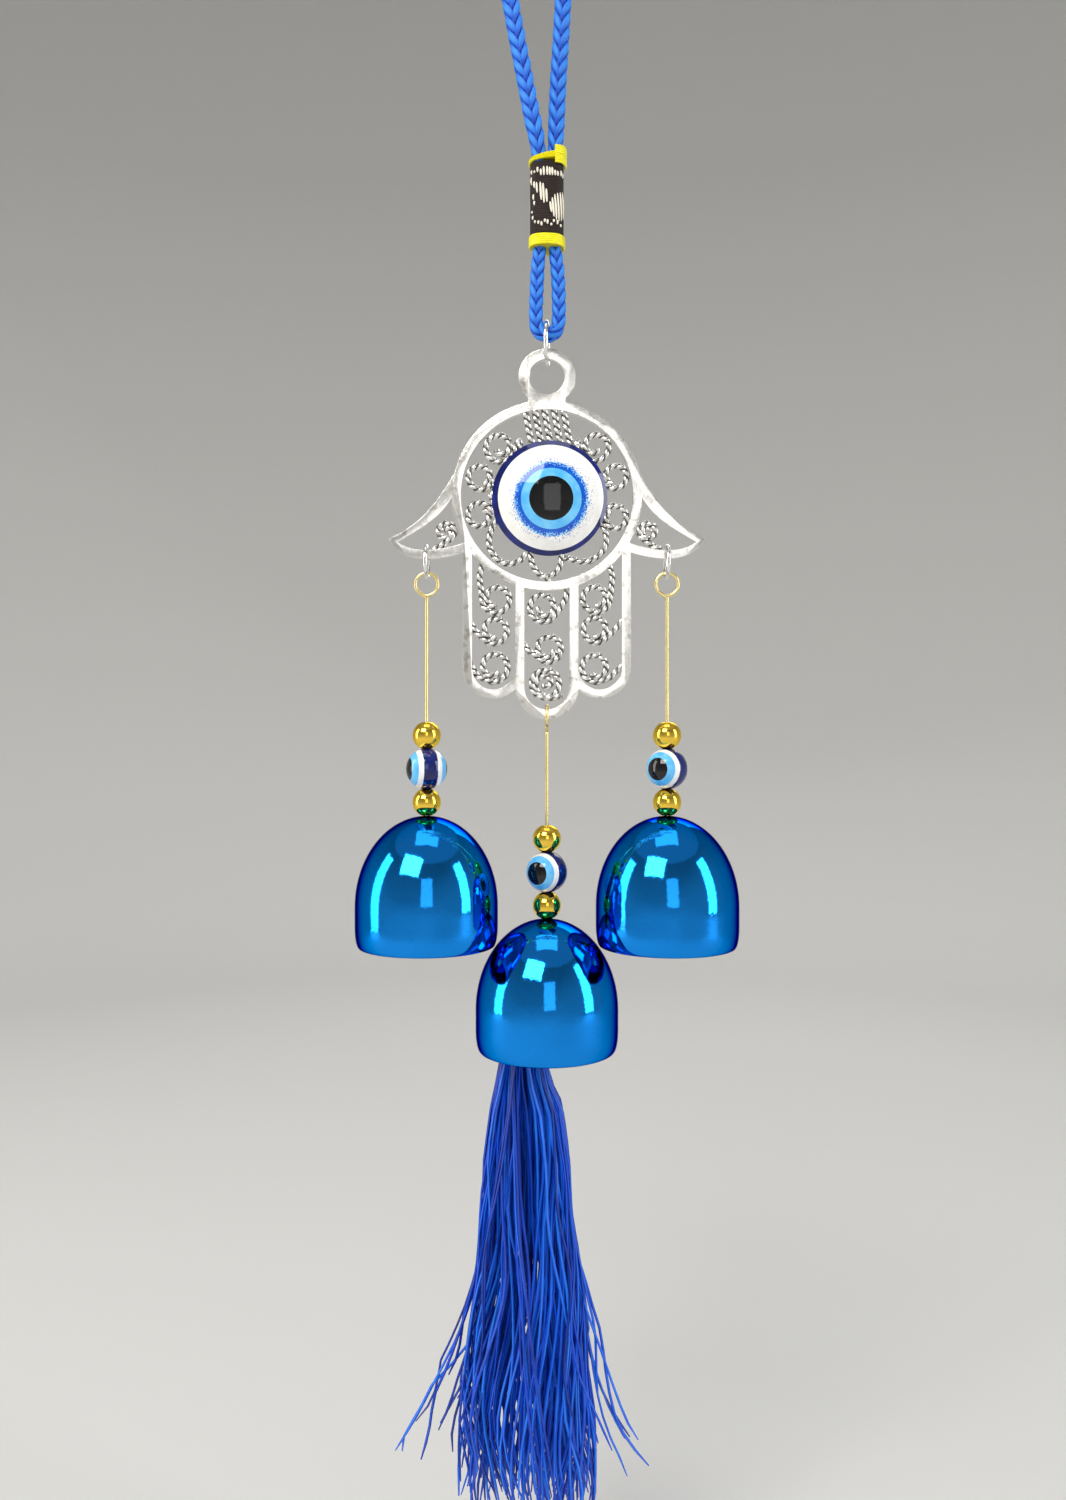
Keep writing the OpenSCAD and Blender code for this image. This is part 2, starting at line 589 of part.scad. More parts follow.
module middle_eye_pin() eye_pin(hang_x, middle_loop_z, 90, middle_bell_z);
module middle_upper_bead() gold_bead(hang_x, upper_bead_z(middle_stack_z));
module middle_eye_bead() eye_bead(hang_x, middle_stack_z, middle_look);
module middle_bead_whites() color(white) bead_dots(hang_x, middle_stack_z, middle_look, iris_a, white_a);
module middle_bead_irises() color(light_blue) bead_dots(hang_x, middle_stack_z, middle_look, pupil_a, iris_a);
module middle_bead_pupils() color(black) bead_dots(hang_x, middle_stack_z, middle_look, 0, pupil_a);
module middle_lower_bead() gold_bead(hang_x, lower_bead_z(middle_stack_z));
module middle_bell() bell(hang_x, middle_bell_z);

// The tassel hangs by a thread loop where the side bells have their clappers
tie_loop_z = middle_bell_z - link_drop + link_gap + (pin_wire + tie_d) / 2 - tie_loop_r;
head_top_z = tie_loop_z - tie_loop_r - 1.5;
module tassel_tie() color(tassel_blue) {
  translate([hang_x, 0, tie_loop_z]) wire_ring(tie_loop_r, tie_d, 90);
  translate([hang_x, 0, head_top_z]) cylinder(h = tie_loop_z - tie_loop_r - head_top_z, d = tie_d, $fn = 24);
}
module tassel_head() color(tassel_blue) translate([hang_x, 0, head_top_z - tassel_head_h])
  cylinder(h = tassel_head_h, d = tassel_head_d);
function tassel_ring(row) =
  [for (k = [0:tassel_sides - 1]) let (a = 360 * k / tassel_sides)
    [row[0] + row[2] * cos(a), tassel_flat * row[2] * sin(a), -row[1] * tassel_l]];
module tassel_threads() color(tassel_blue) translate([hang_x, 0, head_top_z - tassel_head_h])
  polyhedron(
    points = [for (row = TASSEL_SHAPE) each tassel_ring(row)],
    faces = tube_faces(len(TASSEL_SHAPE), tassel_sides), convexity = 4);

hanging_loop_cord();
lower_loop_cord();
upper_band();
thread_wrap();
lower_band();
top_jump_ring();
hamsa_frame();
palm_filigree();
left_finger_filigree();
middle_finger_filigree();
right_finger_filigree();
left_thumb_filigree();
right_thumb_filigree();
eye_seat();
eye_base();
eye_white();
eye_blue_ring();
eye_iris();
eye_pupil();
left_thumb_ring();
left_eye_pin();
left_upper_bead();
left_eye_bead();
left_bead_whites();
left_bead_irises();
left_bead_pupils();
left_lower_bead();
left_bell();
left_clapper_wire();
left_clapper_ball();
right_thumb_ring();
right_eye_pin();
right_upper_bead();
right_eye_bead();
right_bead_whites();
right_bead_irises();
right_bead_pupils();
right_lower_bead();
right_bell();
right_clapper_wire();
right_clapper_ball();
middle_eye_pin();
middle_upper_bead();
middle_eye_bead();
middle_bead_whites();
middle_bead_irises();
middle_bead_pupils();
middle_lower_bead();
middle_bell();
tassel_tie();
tassel_head();
tassel_threads();
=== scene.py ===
"""Evil eye hanging ornament: braided cord, cast hand with a glass eye, and three drops of beads and bells.

The origin is where a hook bears on the cord, at the top of the hanging loop. +Z is up and -Y is the front.
"""

import logging
import math
import random
from dataclasses import dataclass, field, replace
from enum import Enum
from typing import Callable, ClassVar, Optional, Sequence

import bpy
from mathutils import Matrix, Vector


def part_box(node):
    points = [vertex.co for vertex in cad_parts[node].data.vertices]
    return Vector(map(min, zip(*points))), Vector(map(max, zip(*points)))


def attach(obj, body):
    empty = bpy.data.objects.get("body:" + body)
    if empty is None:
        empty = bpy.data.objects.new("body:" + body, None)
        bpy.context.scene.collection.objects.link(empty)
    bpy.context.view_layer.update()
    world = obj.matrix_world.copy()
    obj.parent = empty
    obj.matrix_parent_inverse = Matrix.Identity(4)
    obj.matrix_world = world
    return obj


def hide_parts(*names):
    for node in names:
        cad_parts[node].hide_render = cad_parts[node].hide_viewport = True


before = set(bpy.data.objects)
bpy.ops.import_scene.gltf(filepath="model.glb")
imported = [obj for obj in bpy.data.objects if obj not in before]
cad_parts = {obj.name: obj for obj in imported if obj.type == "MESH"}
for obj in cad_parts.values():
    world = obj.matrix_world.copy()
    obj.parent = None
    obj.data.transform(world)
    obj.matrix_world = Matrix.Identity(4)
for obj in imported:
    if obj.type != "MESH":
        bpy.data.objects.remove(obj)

MM = 0.001
TURN = 2 * math.pi
LOG = logging.getLogger("ornament")

Row = Sequence[float]


class Side(Enum):
    """Which of the three drops a piece belongs to."""

    LEFT = "left"
    MIDDLE = "middle"
    RIGHT = "right"


class Plane(Enum):
    """The plane a bent wire lies in, named by how it looks from the front."""

    FLAT = "flat"
    EDGE_ON = "edge_on"


# ---------------------------------------------------------------- places and routes


def centre_of(node: str) -> Vector:
    """Middle of a CAD node's box."""
    low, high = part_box(node)
    return (low + high) / 2


def smooth_route(stops: Sequence[Row], spacing: float) -> list[list[float]]:
    """Run a smooth curve through the stops and space its points evenly.

    Args:
        stops: Points; anything after x, y, z is carried along the curve too.
        spacing: Distance between the new points.

    Returns:
        Points from the first stop to the last.
    """
    rows = [list(stop) for stop in stops]
    first = [2 * a - b for a, b in zip(rows[0], rows[1])]
    last = [2 * a - b for a, b in zip(rows[-1], rows[-2])]
    rows = [first] + rows + [last]
    dense: list[list[float]] = []
    steps = 24
    for before, start, end, after in zip(rows, rows[1:], rows[2:], rows[3:]):
        for step in range(steps):
            t = step / steps
            dense.append(
                [
                    0.5 * (2 * p1 + (p2 - p0) * t + (2 * p0 - 5 * p1 + 4 * p2 - p3) * t * t
                           + (3 * p1 - p0 - 3 * p2 + p3) * t ** 3)
                    for p0, p1, p2, p3 in zip(before, start, end, after)
                ]
            )
    dense.append(rows[-2])
    travelled = [0.0]
    for here, there in zip(dense, dense[1:]):
        travelled.append(travelled[-1] + math.dist(here[:3], there[:3]))
    count = max(2, round(travelled[-1] / spacing))
    even: list[list[float]] = []
    place = 0
    for step in range(count + 1):
        goal = travelled[-1] * step / count
        while place < len(dense) - 2 and travelled[place + 1] < goal:
            place += 1
        gap = travelled[place + 1] - travelled[place]
        share = (goal - travelled[place]) / gap if gap > 0 else 0.0
        even.append([a + (b - a) * share for a, b in zip(dense[place], dense[place + 1])])
    return even


def route_length(route: Sequence[Row]) -> float:
    """Length of a route along its points."""
    return sum(math.dist(a[:3], b[:3]) for a, b in zip(route, route[1:]))


def headings(route: Sequence[Row], closed: bool = False) -> list[Vector]:
    """Unit direction of a route at each of its points."""
    found = []
    last = len(route) - 1
    for place in range(len(route)):
        before = route[place - 1 if place or closed else 0]
        after = route[(place + 1) % len(route) if closed else min(place + 1, last)]
        found.append((Vector(after[:3]) - Vector(before[:3])).normalized())
    return found


def upright_to(direction: Vector, wanted: Vector) -> Vector:
    """The part of a wanted direction that stands square to another, as a unit vector."""
    return (wanted - direction * wanted.dot(direction)).normalized()


# ---------------------------------------------------------------- meshes


def clear_selection() -> None:
    """Leave edit mode and select nothing."""
    if bpy.context.object and bpy.context.object.mode != "OBJECT":
        bpy.ops.object.mode_set(mode="OBJECT")
    bpy.ops.object.select_all(action="DESELECT")


def pick(piece: bpy.types.Object) -> None:
    """Select one piece and make it the active one."""
    clear_selection()
    piece.select_set(True)
    bpy.context.view_layer.objects.active = piece


def settle(piece: bpy.types.Object, turn: Row, place: Row) -> None:
    """Turn and move a piece, and put its place, turn and scale into its mesh.

    Args:
        piece: The piece.
        turn: Its turns about x, y and z.
        place: Where its middle goes.
    """
    piece.rotation_euler = turn
    piece.location = place
    pick(piece)
    bpy.ops.object.transform_apply(location=True, rotation=True, scale=True)


def add_modifier(piece: bpy.types.Object, kind: str, **settings: object) -> None:
    """Add a modifier to a piece and apply it.

    Args:
        piece: The piece.
        kind: The modifier's type.
        **settings: Its settings.
    """
    pick(piece)
    bpy.ops.object.modifier_add(type=kind)
    modifier = piece.modifiers[-1]
    for name, value in settings.items():
        setattr(modifier, name, value)
    bpy.ops.object.modifier_apply(modifier=modifier.name)


def smooth(piece: bpy.types.Object, angle: float = 35.0) -> None:
    """Shade a piece smooth, except over edges sharper than an angle in degrees."""
    pick(piece)
    bpy.ops.object.shade_smooth_by_angle(angle=math.radians(angle))


def close_up(piece: bpy.types.Object) -> None:
    """Merge a piece's doubles and turn its faces outwards."""
    pick(piece)
    bpy.ops.object.mode_set(mode="EDIT")
    bpy.ops.mesh.select_all(action="SELECT")
    bpy.ops.mesh.remove_doubles(threshold=0.005 * MM)
    bpy.ops.mesh.normals_make_consistent(inside=False)
    bpy.ops.object.mode_set(mode="OBJECT")


def turned(
    name: str, profile: Sequence[tuple[float, float]], place: Vector, steps: int = 96, closed: bool = True
) -> bpy.types.Object:
    """Turn a profile about an upright axis, as on a lathe.

    Args:
        name: Name of the piece.
        profile: Radius and height of each corner, in metres, outside and inside.
        place: Where the axis stands; heights are measured from it.
        steps: Number of flats round the axis.
        closed: Whether the last corner joins the first.

    Returns:
        The piece, with outward faces.
    """
    clear_selection()
    bpy.ops.mesh.primitive_circle_add(vertices=len(profile), radius=1.0, location=(0, 0, 0))
    piece = bpy.context.object
    piece.name = piece.data.name = name
    for point, (radius, height) in zip(piece.data.vertices, profile):
        point.co = place + Vector((radius, 0.0, height))
    bpy.ops.object.mode_set(mode="EDIT")
    if not closed:
        bpy.ops.mesh.select_all(action="DESELECT")
        bpy.ops.object.mode_set(mode="OBJECT")
        ends = {0, len(profile) - 1}
        for edge in piece.data.edges:
            edge.select = set(edge.vertices) == ends
        bpy.ops.object.mode_set(mode="EDIT")
        bpy.ops.mesh.delete(type="EDGE_FACE")
    bpy.ops.mesh.select_all(action="SELECT")
    bpy.ops.mesh.spin(steps=steps, angle=TURN, center=place, axis=(0, 0, 1))
    bpy.ops.object.mode_set(mode="OBJECT")
    close_up(piece)
    return piece


def fit(piece: bpy.types.Object, finish: "Finish", body: str, *nodes: str) -> None:
    """Dress a piece, let it ride on a body, and let it stand for CAD nodes.

    Args:
        piece: The piece.
        finish: Its material.
        body: The body that it moves with.
        *nodes: The nodes that it replaces.
    """
    finish.dress(piece)
    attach(piece, body)
    if nodes:
        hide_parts(*nodes)


def arc_profile(radius: float, from_angle: float, to_angle: float, steps: int) -> list[tuple[float, float]]:
    """Points on a circle about the axis, as radius and height; angles in degrees from the top."""
    spread = to_angle - from_angle
    angles = [math.radians(from_angle + spread * step / steps) for step in range(steps + 1)]
    return [(radius * math.sin(angle), radius * math.cos(angle)) for angle in angles]


@dataclass
class Shell:
    """Points and faces of one mesh, with the lay of its threads at each point.

    The lay is how far a point is across its thread and along it, in metres, and a tone from 0 to 1.
    """

    points: list[tuple[float, float, float]] = field(default_factory=list)
    faces: list[tuple[int, ...]] = field(default_factory=list)
    lay: list[tuple[float, float, float]] = field(default_factory=list)
    # Tone lost at a strand's edges where it dips between neighbours: painted shade on yarn, oxide on twisted
    # silver
    painted_edge_shade_and_oxide: float = 0.3

    def strand(
        self,
        route: Sequence[Row],
        outward: Sequence[Vector],
        sizes: Sequence[tuple[float, float]],
        tones: Sequence[float],
        sides: int = 8,
        closed: bool = False,
    ) -> None:
        """Add one strand with an oval section.

        Args:
            route: Its centre line.
            outward: The direction that its flatter side faces, at each point.
            sizes: Half its width and half its thickness, at each point.
            tones: The tone at each point.
            sides: Number of flats round it.
            closed: Whether its end joins its start.
        """
        base = len(self.points)
        travelled = 0.0
        for place, direction in enumerate(headings(route, closed)):
            middle = Vector(route[place][:3])
            if place:
                travelled += math.dist(route[place][:3], route[place - 1][:3])
            normal = upright_to(direction, outward[place])
            across = direction.cross(normal)
            half_width, half_depth = sizes[place]
            for side in range(sides):
                angle = TURN * side / sides - math.pi / 2
                out = across * (half_width * math.cos(angle))
                up = normal * (half_depth * math.sin(angle))
                self.points.append((middle + out + up)[:])
                # Painted shade at the strand's edges, which twisted silver shows as oxide in its grooves
                shade = self.painted_edge_shade_and_oxide * math.cos(angle) ** 2
                self.lay.append((TURN * side / sides * half_width, travelled, tones[place] - shade))
        rings = len(route)
        for ring in range(rings if closed else rings - 1):
            low = base + ring * sides
            high = base + (ring + 1) % rings * sides
            for side in range(sides):
                turn = (side + 1) % sides
                self.faces.append((low + side, high + side, high + turn, low + turn))
        if not closed:
            top = base + (rings - 1) * sides
            self.faces.append(tuple(base + side for side in range(sides)))
            self.faces.append(tuple(top + side for side in reversed(range(sides))))

    def wire(
        self, route: Sequence[Row], radius: float, outward: Vector, sides: int = 12, tone: float = 0.5
    ) -> None:
        """Add one round wire that lies in a plane, or nearly.

        Args:
            route: Its centre line.
            radius: Its radius.
            outward: Its plane's normal, or near it.
            sides: Number of flats round it.
            tone: Its tone.
        """
        count = len(route)
        self.strand(route, [outward] * count, [(radius, radius)] * count, [tone] * count, sides)

    def build(self, name: str) -> bpy.types.Object:
        """Make the mesh object, shaded smooth.

        Args:
            name: Name of the piece.

        Returns:
            The piece.
        """
        mesh = bpy.data.meshes.new(name)
        mesh.from_pydata(self.points, [], self.faces)
        lay = mesh.attributes.new("lay", "FLOAT_VECTOR", "POINT")
        rows = [(across / MM, along / MM, tone) for across, along, tone in self.lay]
        lay.data.foreach_set("vector", [number for row in rows for number in row])
        mesh.update()
        piece = bpy.data.objects.new(name, mesh)
        bpy.context.scene.collection.objects.link(piece)
        smooth(piece, 50)
        return piece


def twisted_pair(
    shell: Shell, route: Sequence[Row], wire: float, pitch: float, seed: int = 0, taper: float = 0.0
) -> None:
    """Add two wires twisted round each other along a route in the plane of the hand.

    Args:
        shell: The mesh it joins.
        route: Centre line of the pair.
        wire: Thickness across the pair.
        pitch: Length of a whole turn of the twist.
        seed: Choice of where the twist starts.
        taper: Share by which the far end is thinner.
    """
    half = wire * 0.29
    offset = wire * 0.24
    start = random.Random(seed).uniform(0, TURN)
    face = Vector((0, 1, 0))
    directions = headings(route)
    for strand in range(2):
        travelled = 0.0
        line, outward, sizes, tones = [], [], [], []
        for place, direction in enumerate(directions):
            if place:
                travelled += math.dist(route[place][:3], route[place - 1][:3])
            angle = start + TURN * travelled / pitch + math.pi * strand
            across = direction.cross(face).normalized()
            away = across * math.cos(angle) + face * math.sin(angle)
            thin = 1.0 - taper * place / len(directions)
            line.append((Vector(route[place][:3]) + away * (offset * thin))[:])
            outward.append(away)
            sizes.append((half * 1.12 * thin, half * thin))
            tones.append(0.5)
        shell.strand(line, outward, sizes, tones, 8)


# ---------------------------------------------------------------- finishes


def linear(colour: str) -> tuple[float, float, float, float]:
    """Turn an sRGB hex colour to the linear RGBA that shaders read."""
    parts = [int(colour[place:place + 2], 16) / 255 for place in (1, 3, 5)]
    return tuple(p / 12.92 if p <= 0.04045 else ((p + 0.055) / 1.055) ** 2.4 for p in parts) + (1.0,)


def feed(tree: bpy.types.NodeTree, node: bpy.types.Node, inputs: dict[object, object]) -> None:
    """Set or link the inputs of a node.

    Args:
        tree: The material's node tree.
        node: The node.
        inputs: For each input, by name or number, a value or the output that feeds it.
    """
    for name, value in inputs.items():
        if isinstance(value, bpy.types.NodeSocket):
            tree.links.new(value, node.inputs[name])
        else:
            node.inputs[name].default_value = value


def add_node(
    tree: bpy.types.NodeTree, kind: str, inputs: Optional[dict[object, object]] = None, **settings: object
) -> bpy.types.Node:
    """Add a node with its settings and links.

    Args:
        tree: The material's node tree.
        kind: The node's type.
        inputs: For each input, by name or number, a value or the output that feeds it.
        **settings: Its other settings.

    Returns:
        The node.
    """
    made = tree.nodes.new(kind)
    for name, value in settings.items():
        setattr(made, name, value)
    feed(tree, made, inputs or {})
    return made


def ramp(
    tree: bpy.types.NodeTree, source: bpy.types.NodeSocket, stops: Sequence[tuple[float, str]]
) -> bpy.types.NodeSocket:
    """Colour ramp from hex colours.

    Args:
        tree: The material's node tree.
        source: Output that the ramp reads.
        stops: Place from 0 to 1 and colour of each stop.

    Returns:
        The ramp's colour output.
    """
    made = add_node(tree, "ShaderNodeValToRGB", {"Fac": source})
    elements = made.color_ramp.elements
    while len(elements) < len(stops):
        elements.new(0.5)
    for element, (place, colour) in zip(elements, stops):
        element.position = place
        element.color = linear(colour)
    return made.outputs["Color"]


@dataclass(frozen=True)
class Finish:
    """A material, and the record's slot that it belongs to."""

    name: str
    slot: str

    def paint(self, tree: bpy.types.NodeTree, shader: bpy.types.Node) -> None:
        """Wire the shader; each finish has its own."""
        raise NotImplementedError

    def material(self) -> bpy.types.Material:
        """The material, made when it is first asked for."""
        material = bpy.data.materials.get(self.name)
        if material is None:
            material = bpy.data.materials.new(self.name)
            material.use_nodes = True
            self.paint(material.node_tree, material.node_tree.nodes["Principled BSDF"])
        return material

    def dress(self, piece: bpy.types.Object) -> None:
        """Give a piece this material."""
        piece.data.materials.clear()
        piece.data.materials.append(self.material())

    @staticmethod
    def places(tree: bpy.types.NodeTree, scale: Row = (1000, 1000, 1000)) -> bpy.types.NodeSocket:
        """Object coordinates in millimetres, or finer with a larger scale."""
        source = add_node(tree, "ShaderNodeTexCoord").outputs["Object"]
        return add_node(tree, "ShaderNodeMapping", {"Vector": source, "Scale": scale}).outputs["Vector"]

    @staticmethod
    def lay(tree: bpy.types.NodeTree) -> bpy.types.Node:
        """Across, along and tone of the threads, as three outputs."""
        source = add_node(tree, "ShaderNodeAttribute", attribute_name="lay").outputs["Vector"]
        return add_node(tree, "ShaderNodeSeparateXYZ", {"Vector": source})


@dataclass(frozen=True)
class Filament(Finish):
    """Filament yarn, braided, wound or hanging.

    Drawn polyester and rayon filaments lie side by side, so the yarn shows fine lines along its length and a
    soft sheen across them; its colour is darker where painted shade falls between strands.
    """

    # Colours at tone 0, 0.5 and 1; tone mixes random differences with painted shade in grooves and painted
    # light on crowns
    deep: str = "#031c78"
    main: str = "#0f52cc"
    light: str = "#2f8cec"
    # Filament bundles per millimetre across the yarn; real filaments are 0.02 mm, too fine to show
    lines: float = 7.0
    # Length in millimetres over which a line keeps its shade
    run: float = 5.0
    sheen: float = 0.12
    roughness: float = 0.5
    relief: float = 0.25

    def paint(self, tree: bpy.types.NodeTree, shader: bpy.types.Node) -> None:
        """Wire the shader."""
        lay = self.lay(tree)
        across = add_node(tree, "ShaderNodeMath", {0: lay.outputs["X"], 1: self.lines}, operation="MULTIPLY")
        along = add_node(tree, "ShaderNodeMath", {0: lay.outputs["Y"], 1: self.run}, operation="DIVIDE")
        spot = add_node(tree, "ShaderNodeCombineXYZ", {"X": across.outputs[0], "Y": along.outputs[0],
                                                       "Z": lay.outputs["Z"]})
        lines = add_node(tree, "ShaderNodeTexNoise", {"Vector": spot.outputs[0], "Scale": 1.0, "Detail": 2.0})
        shade = add_node(tree, "ShaderNodeMath", {0: lines.outputs["Fac"], 1: 0.9, 2: -0.45},
                         operation="MULTIPLY_ADD")
        tone = add_node(tree, "ShaderNodeMath", {0: lay.outputs["Z"], 1: shade.outputs[0]}, operation="ADD",
                        use_clamp=True)
        colour = ramp(tree, tone.outputs[0], [(0.0, self.deep), (0.5, self.main), (1.0, self.light)])
        bump = add_node(tree, "ShaderNodeBump", {"Height": lines.outputs["Fac"], "Strength": self.relief,
                                                 "Distance": 0.1 * MM})
        feed(tree, shader, {"Base Color": colour, "Normal": bump.outputs[0], "Roughness": self.roughness,
                            "Sheen Weight": self.sheen, "Sheen Roughness": 0.35,
                            "Sheen Tint": linear(self.light), "Specular IOR Level": 0.4})


@dataclass(frozen=True)
class CastSilver(Finish):
    """Silver-plated zinc casting or wire.

    Tumbled after casting, so the plate is bright and slightly wavy, with a soft matt grain and a thin grey
    tarnish that lies in patches.
    """

    bright: str = "#eeece8"
    tarnish: str = "#b3afa8"
    roughness: float = 0.2
    # Size in millimetres of the casting's waviness, and of its grain
    wave: float = 2.6
    grain: float = 0.25
    relief: float = 0.16

    def paint(self, tree: bpy.types.NodeTree, shader: bpy.types.Node) -> None:
        """Wire the shader."""
        spot = self.places(tree)
        wave = add_node(tree, "ShaderNodeTexNoise", {"Vector": spot, "Scale": 1 / self.wave, "Detail": 3.0})
        grain = add_node(tree, "ShaderNodeTexNoise", {"Vector": spot, "Scale": 1 / self.grain, "Detail": 2.0})
        patch = add_node(tree, "ShaderNodeMapRange", {"Value": wave.outputs["Fac"], "From Min": 0.56,
                                                      "From Max": 0.75})
        colour = add_node(tree, "ShaderNodeMix", {"Factor": patch.outputs["Result"], 6: linear(self.bright),
                                                  7: linear(self.tarnish)}, data_type="RGBA")
        rough = add_node(tree, "ShaderNodeMath", {0: grain.outputs["Fac"], 1: 0.2, 2: self.roughness - 0.1},
                         operation="MULTIPLY_ADD")
        height = add_node(tree, "ShaderNodeMath", {0: grain.outputs["Fac"], 1: 0.25, 2: wave.outputs["Fac"]},
                          operation="MULTIPLY_ADD")
        bump = add_node(tree, "ShaderNodeBump", {"Height": height.outputs[0], "Strength": self.relief,
                                                 "Distance": 0.4 * MM})
        feed(tree, shader, {"Base Color": colour.outputs[2], "Roughness": rough.outputs[0],
                            "Normal": bump.outputs[0], "Metallic": 1.0})


@dataclass(frozen=True)
class TwistedSilver(CastSilver):
    """Two silver-plated wires twisted together.

    Handling keeps the crowns of the wires bright, and black oxide stays in the grooves between them.
    """

    oxide: str = "#3c3835"

    def paint(self, tree: bpy.types.NodeTree, shader: bpy.types.Node) -> None:
        """Wire the shader."""
        super().paint(tree, shader)
        groove = add_node(tree, "ShaderNodeMapRange", {"Value": self.lay(tree).outputs["Z"], "From Min": 0.2,
                                                       "From Max": 0.36, "To Min": 0.85, "To Max": 0.0})
        plate = shader.inputs["Base Color"].links[0].from_socket
        mixed = add_node(tree, "ShaderNodeMix", {"Factor": groove.outputs["Result"], 6: plate,
                                                 7: linear(self.oxide)}, data_type="RGBA")
        feed(tree, shader, {"Base Color": mixed.outputs[2]})


@dataclass(frozen=True)
class PlatedMetal(Finish):
    """Bright plated or drawn metal.

    Barrel plating leaves a mirror with a faint orange peel, small flecks where the plate is thin, and a
    slightly duller bloom.
    """

    colour: str = "#e0b040"
    edge: str = "#fff0b0"
    fleck: str = "#7a4f10"
    roughness: float = 0.12
    # Size in millimetres of the orange peel
    peel: float = 0.9
    relief: float = 0.05

    def paint(self, tree: bpy.types.NodeTree, shader: bpy.types.Node) -> None:
        """Wire the shader."""
        spot = self.places(tree)
        peel = add_node(tree, "ShaderNodeTexNoise", {"Vector": spot, "Scale": 1 / self.peel, "Detail": 2.0})
        specks = add_node(tree, "ShaderNodeTexNoise", {"Vector": spot, "Scale": 2.2, "Detail": 3.0})
        thin = add_node(tree, "ShaderNodeMapRange", {"Value": specks.outputs["Fac"], "From Min": 0.66,
                                                     "From Max": 0.74, "To Max": 0.7})
        colour = add_node(tree, "ShaderNodeMix", {"Factor": thin.outputs["Result"], 6: linear(self.colour),
                                                  7: linear(self.fleck)}, data_type="RGBA")
        rough = add_node(tree, "ShaderNodeMath", {0: peel.outputs["Fac"], 1: 0.08, 2: self.roughness - 0.04},
                         operation="MULTIPLY_ADD")
        bump = add_node(tree, "ShaderNodeBump", {"Height": peel.outputs["Fac"], "Strength": self.relief,
                                                 "Distance": 0.3 * MM})
        feed(tree, shader, {"Base Color": colour.outputs[2], "Roughness": rough.outputs[0],
                            "Normal": bump.outputs[0], "Metallic": 1.0, "Specular Tint": linear(self.edge)})


@dataclass(frozen=True)
class LampGlass(Finish):
    """Opaque coloured soda glass.

    Melted over a flame and left to cool, so it is glossy with a slightly rippled skin, and its colour
    drifts a little where the melt was thicker. Soda glass has an index of 1.52.
    """

    colour: str = "#10206a"
    drift: str = "#1b3aa6"
    roughness: float = 0.06

    def paint(self, tree: bpy.types.NodeTree, shader: bpy.types.Node) -> None:
        """Wire the shader."""
        spot = self.places(tree)
        melt = add_node(tree, "ShaderNodeTexNoise", {"Vector": spot, "Scale": 0.35, "Detail": 2.0})
        body = ramp(tree, melt.outputs["Fac"], [(0.35, self.colour), (0.7, self.drift)])
        ripple = add_node(tree, "ShaderNodeTexNoise", {"Vector": spot, "Scale": 0.5, "Detail": 1.0})
        bump = add_node(tree, "ShaderNodeBump", {"Height": ripple.outputs["Fac"], "Strength": 0.06,
                                                 "Distance": 0.3 * MM})
        feed(tree, shader, {"Base Color": body, "Normal": bump.outputs[0], "Roughness": self.roughness,
                            "IOR": 1.52})


@dataclass(frozen=True)
class SprinkledGlass(LampGlass):
    """Opaque glass that was sprinkled with grains of another colour before it set.

    The grains lie close at one edge of a ring and thin out towards the other.
    """

    # Colour of the grains, and the spacing in millimetres of the pattern that they are cut from
    grain: str = "#9fd4f8"
    grain_size: float = 0.4
    # Middle of the ring in millimetres, and the radius where no grain lies and where they lie close
    middle: tuple[float, float, float] = (0.0, 0.0, 0.0)
    bare_radius: float = 8.0
    close_radius: float = 10.0
    closeness: float = 0.6

    def paint(self, tree: bpy.types.NodeTree, shader: bpy.types.Node) -> None:
        """Wire the shader."""
        super().paint(tree, shader)
        spot = self.places(tree)
        flat = add_node(tree, "ShaderNodeVectorMath", {0: spot, 1: (1.0, 0.0, 1.0)}, operation="MULTIPLY")
        out = add_node(tree, "ShaderNodeVectorMath", {0: flat.outputs[0], 1: self.middle},
                       operation="DISTANCE")
        share = add_node(tree, "ShaderNodeMapRange", {"Value": out.outputs["Value"],
                                                      "From Min": self.bare_radius,
                                                      "From Max": self.close_radius,
                                                      "To Max": self.closeness})
        grains = add_node(tree, "ShaderNodeTexNoise", {"Vector": spot, "Scale": 1 / self.grain_size,
                                                       "Detail": 1.5, "Roughness": 0.7})
        level = add_node(tree, "ShaderNodeMath", {0: share.outputs["Result"], 1: -0.5, 2: 0.8},
                         operation="MULTIPLY_ADD")
        shown = add_node(tree, "ShaderNodeMath", {0: grains.outputs["Fac"], 1: level.outputs[0]},
                         operation="GREATER_THAN")
        body = shader.inputs["Base Color"].links[0].from_socket
        mixed = add_node(tree, "ShaderNodeMix", {"Factor": shown.outputs[0], 6: body, 7: linear(self.grain)},
                         data_type="RGBA")
        feed(tree, shader, {"Base Color": mixed.outputs[2]})


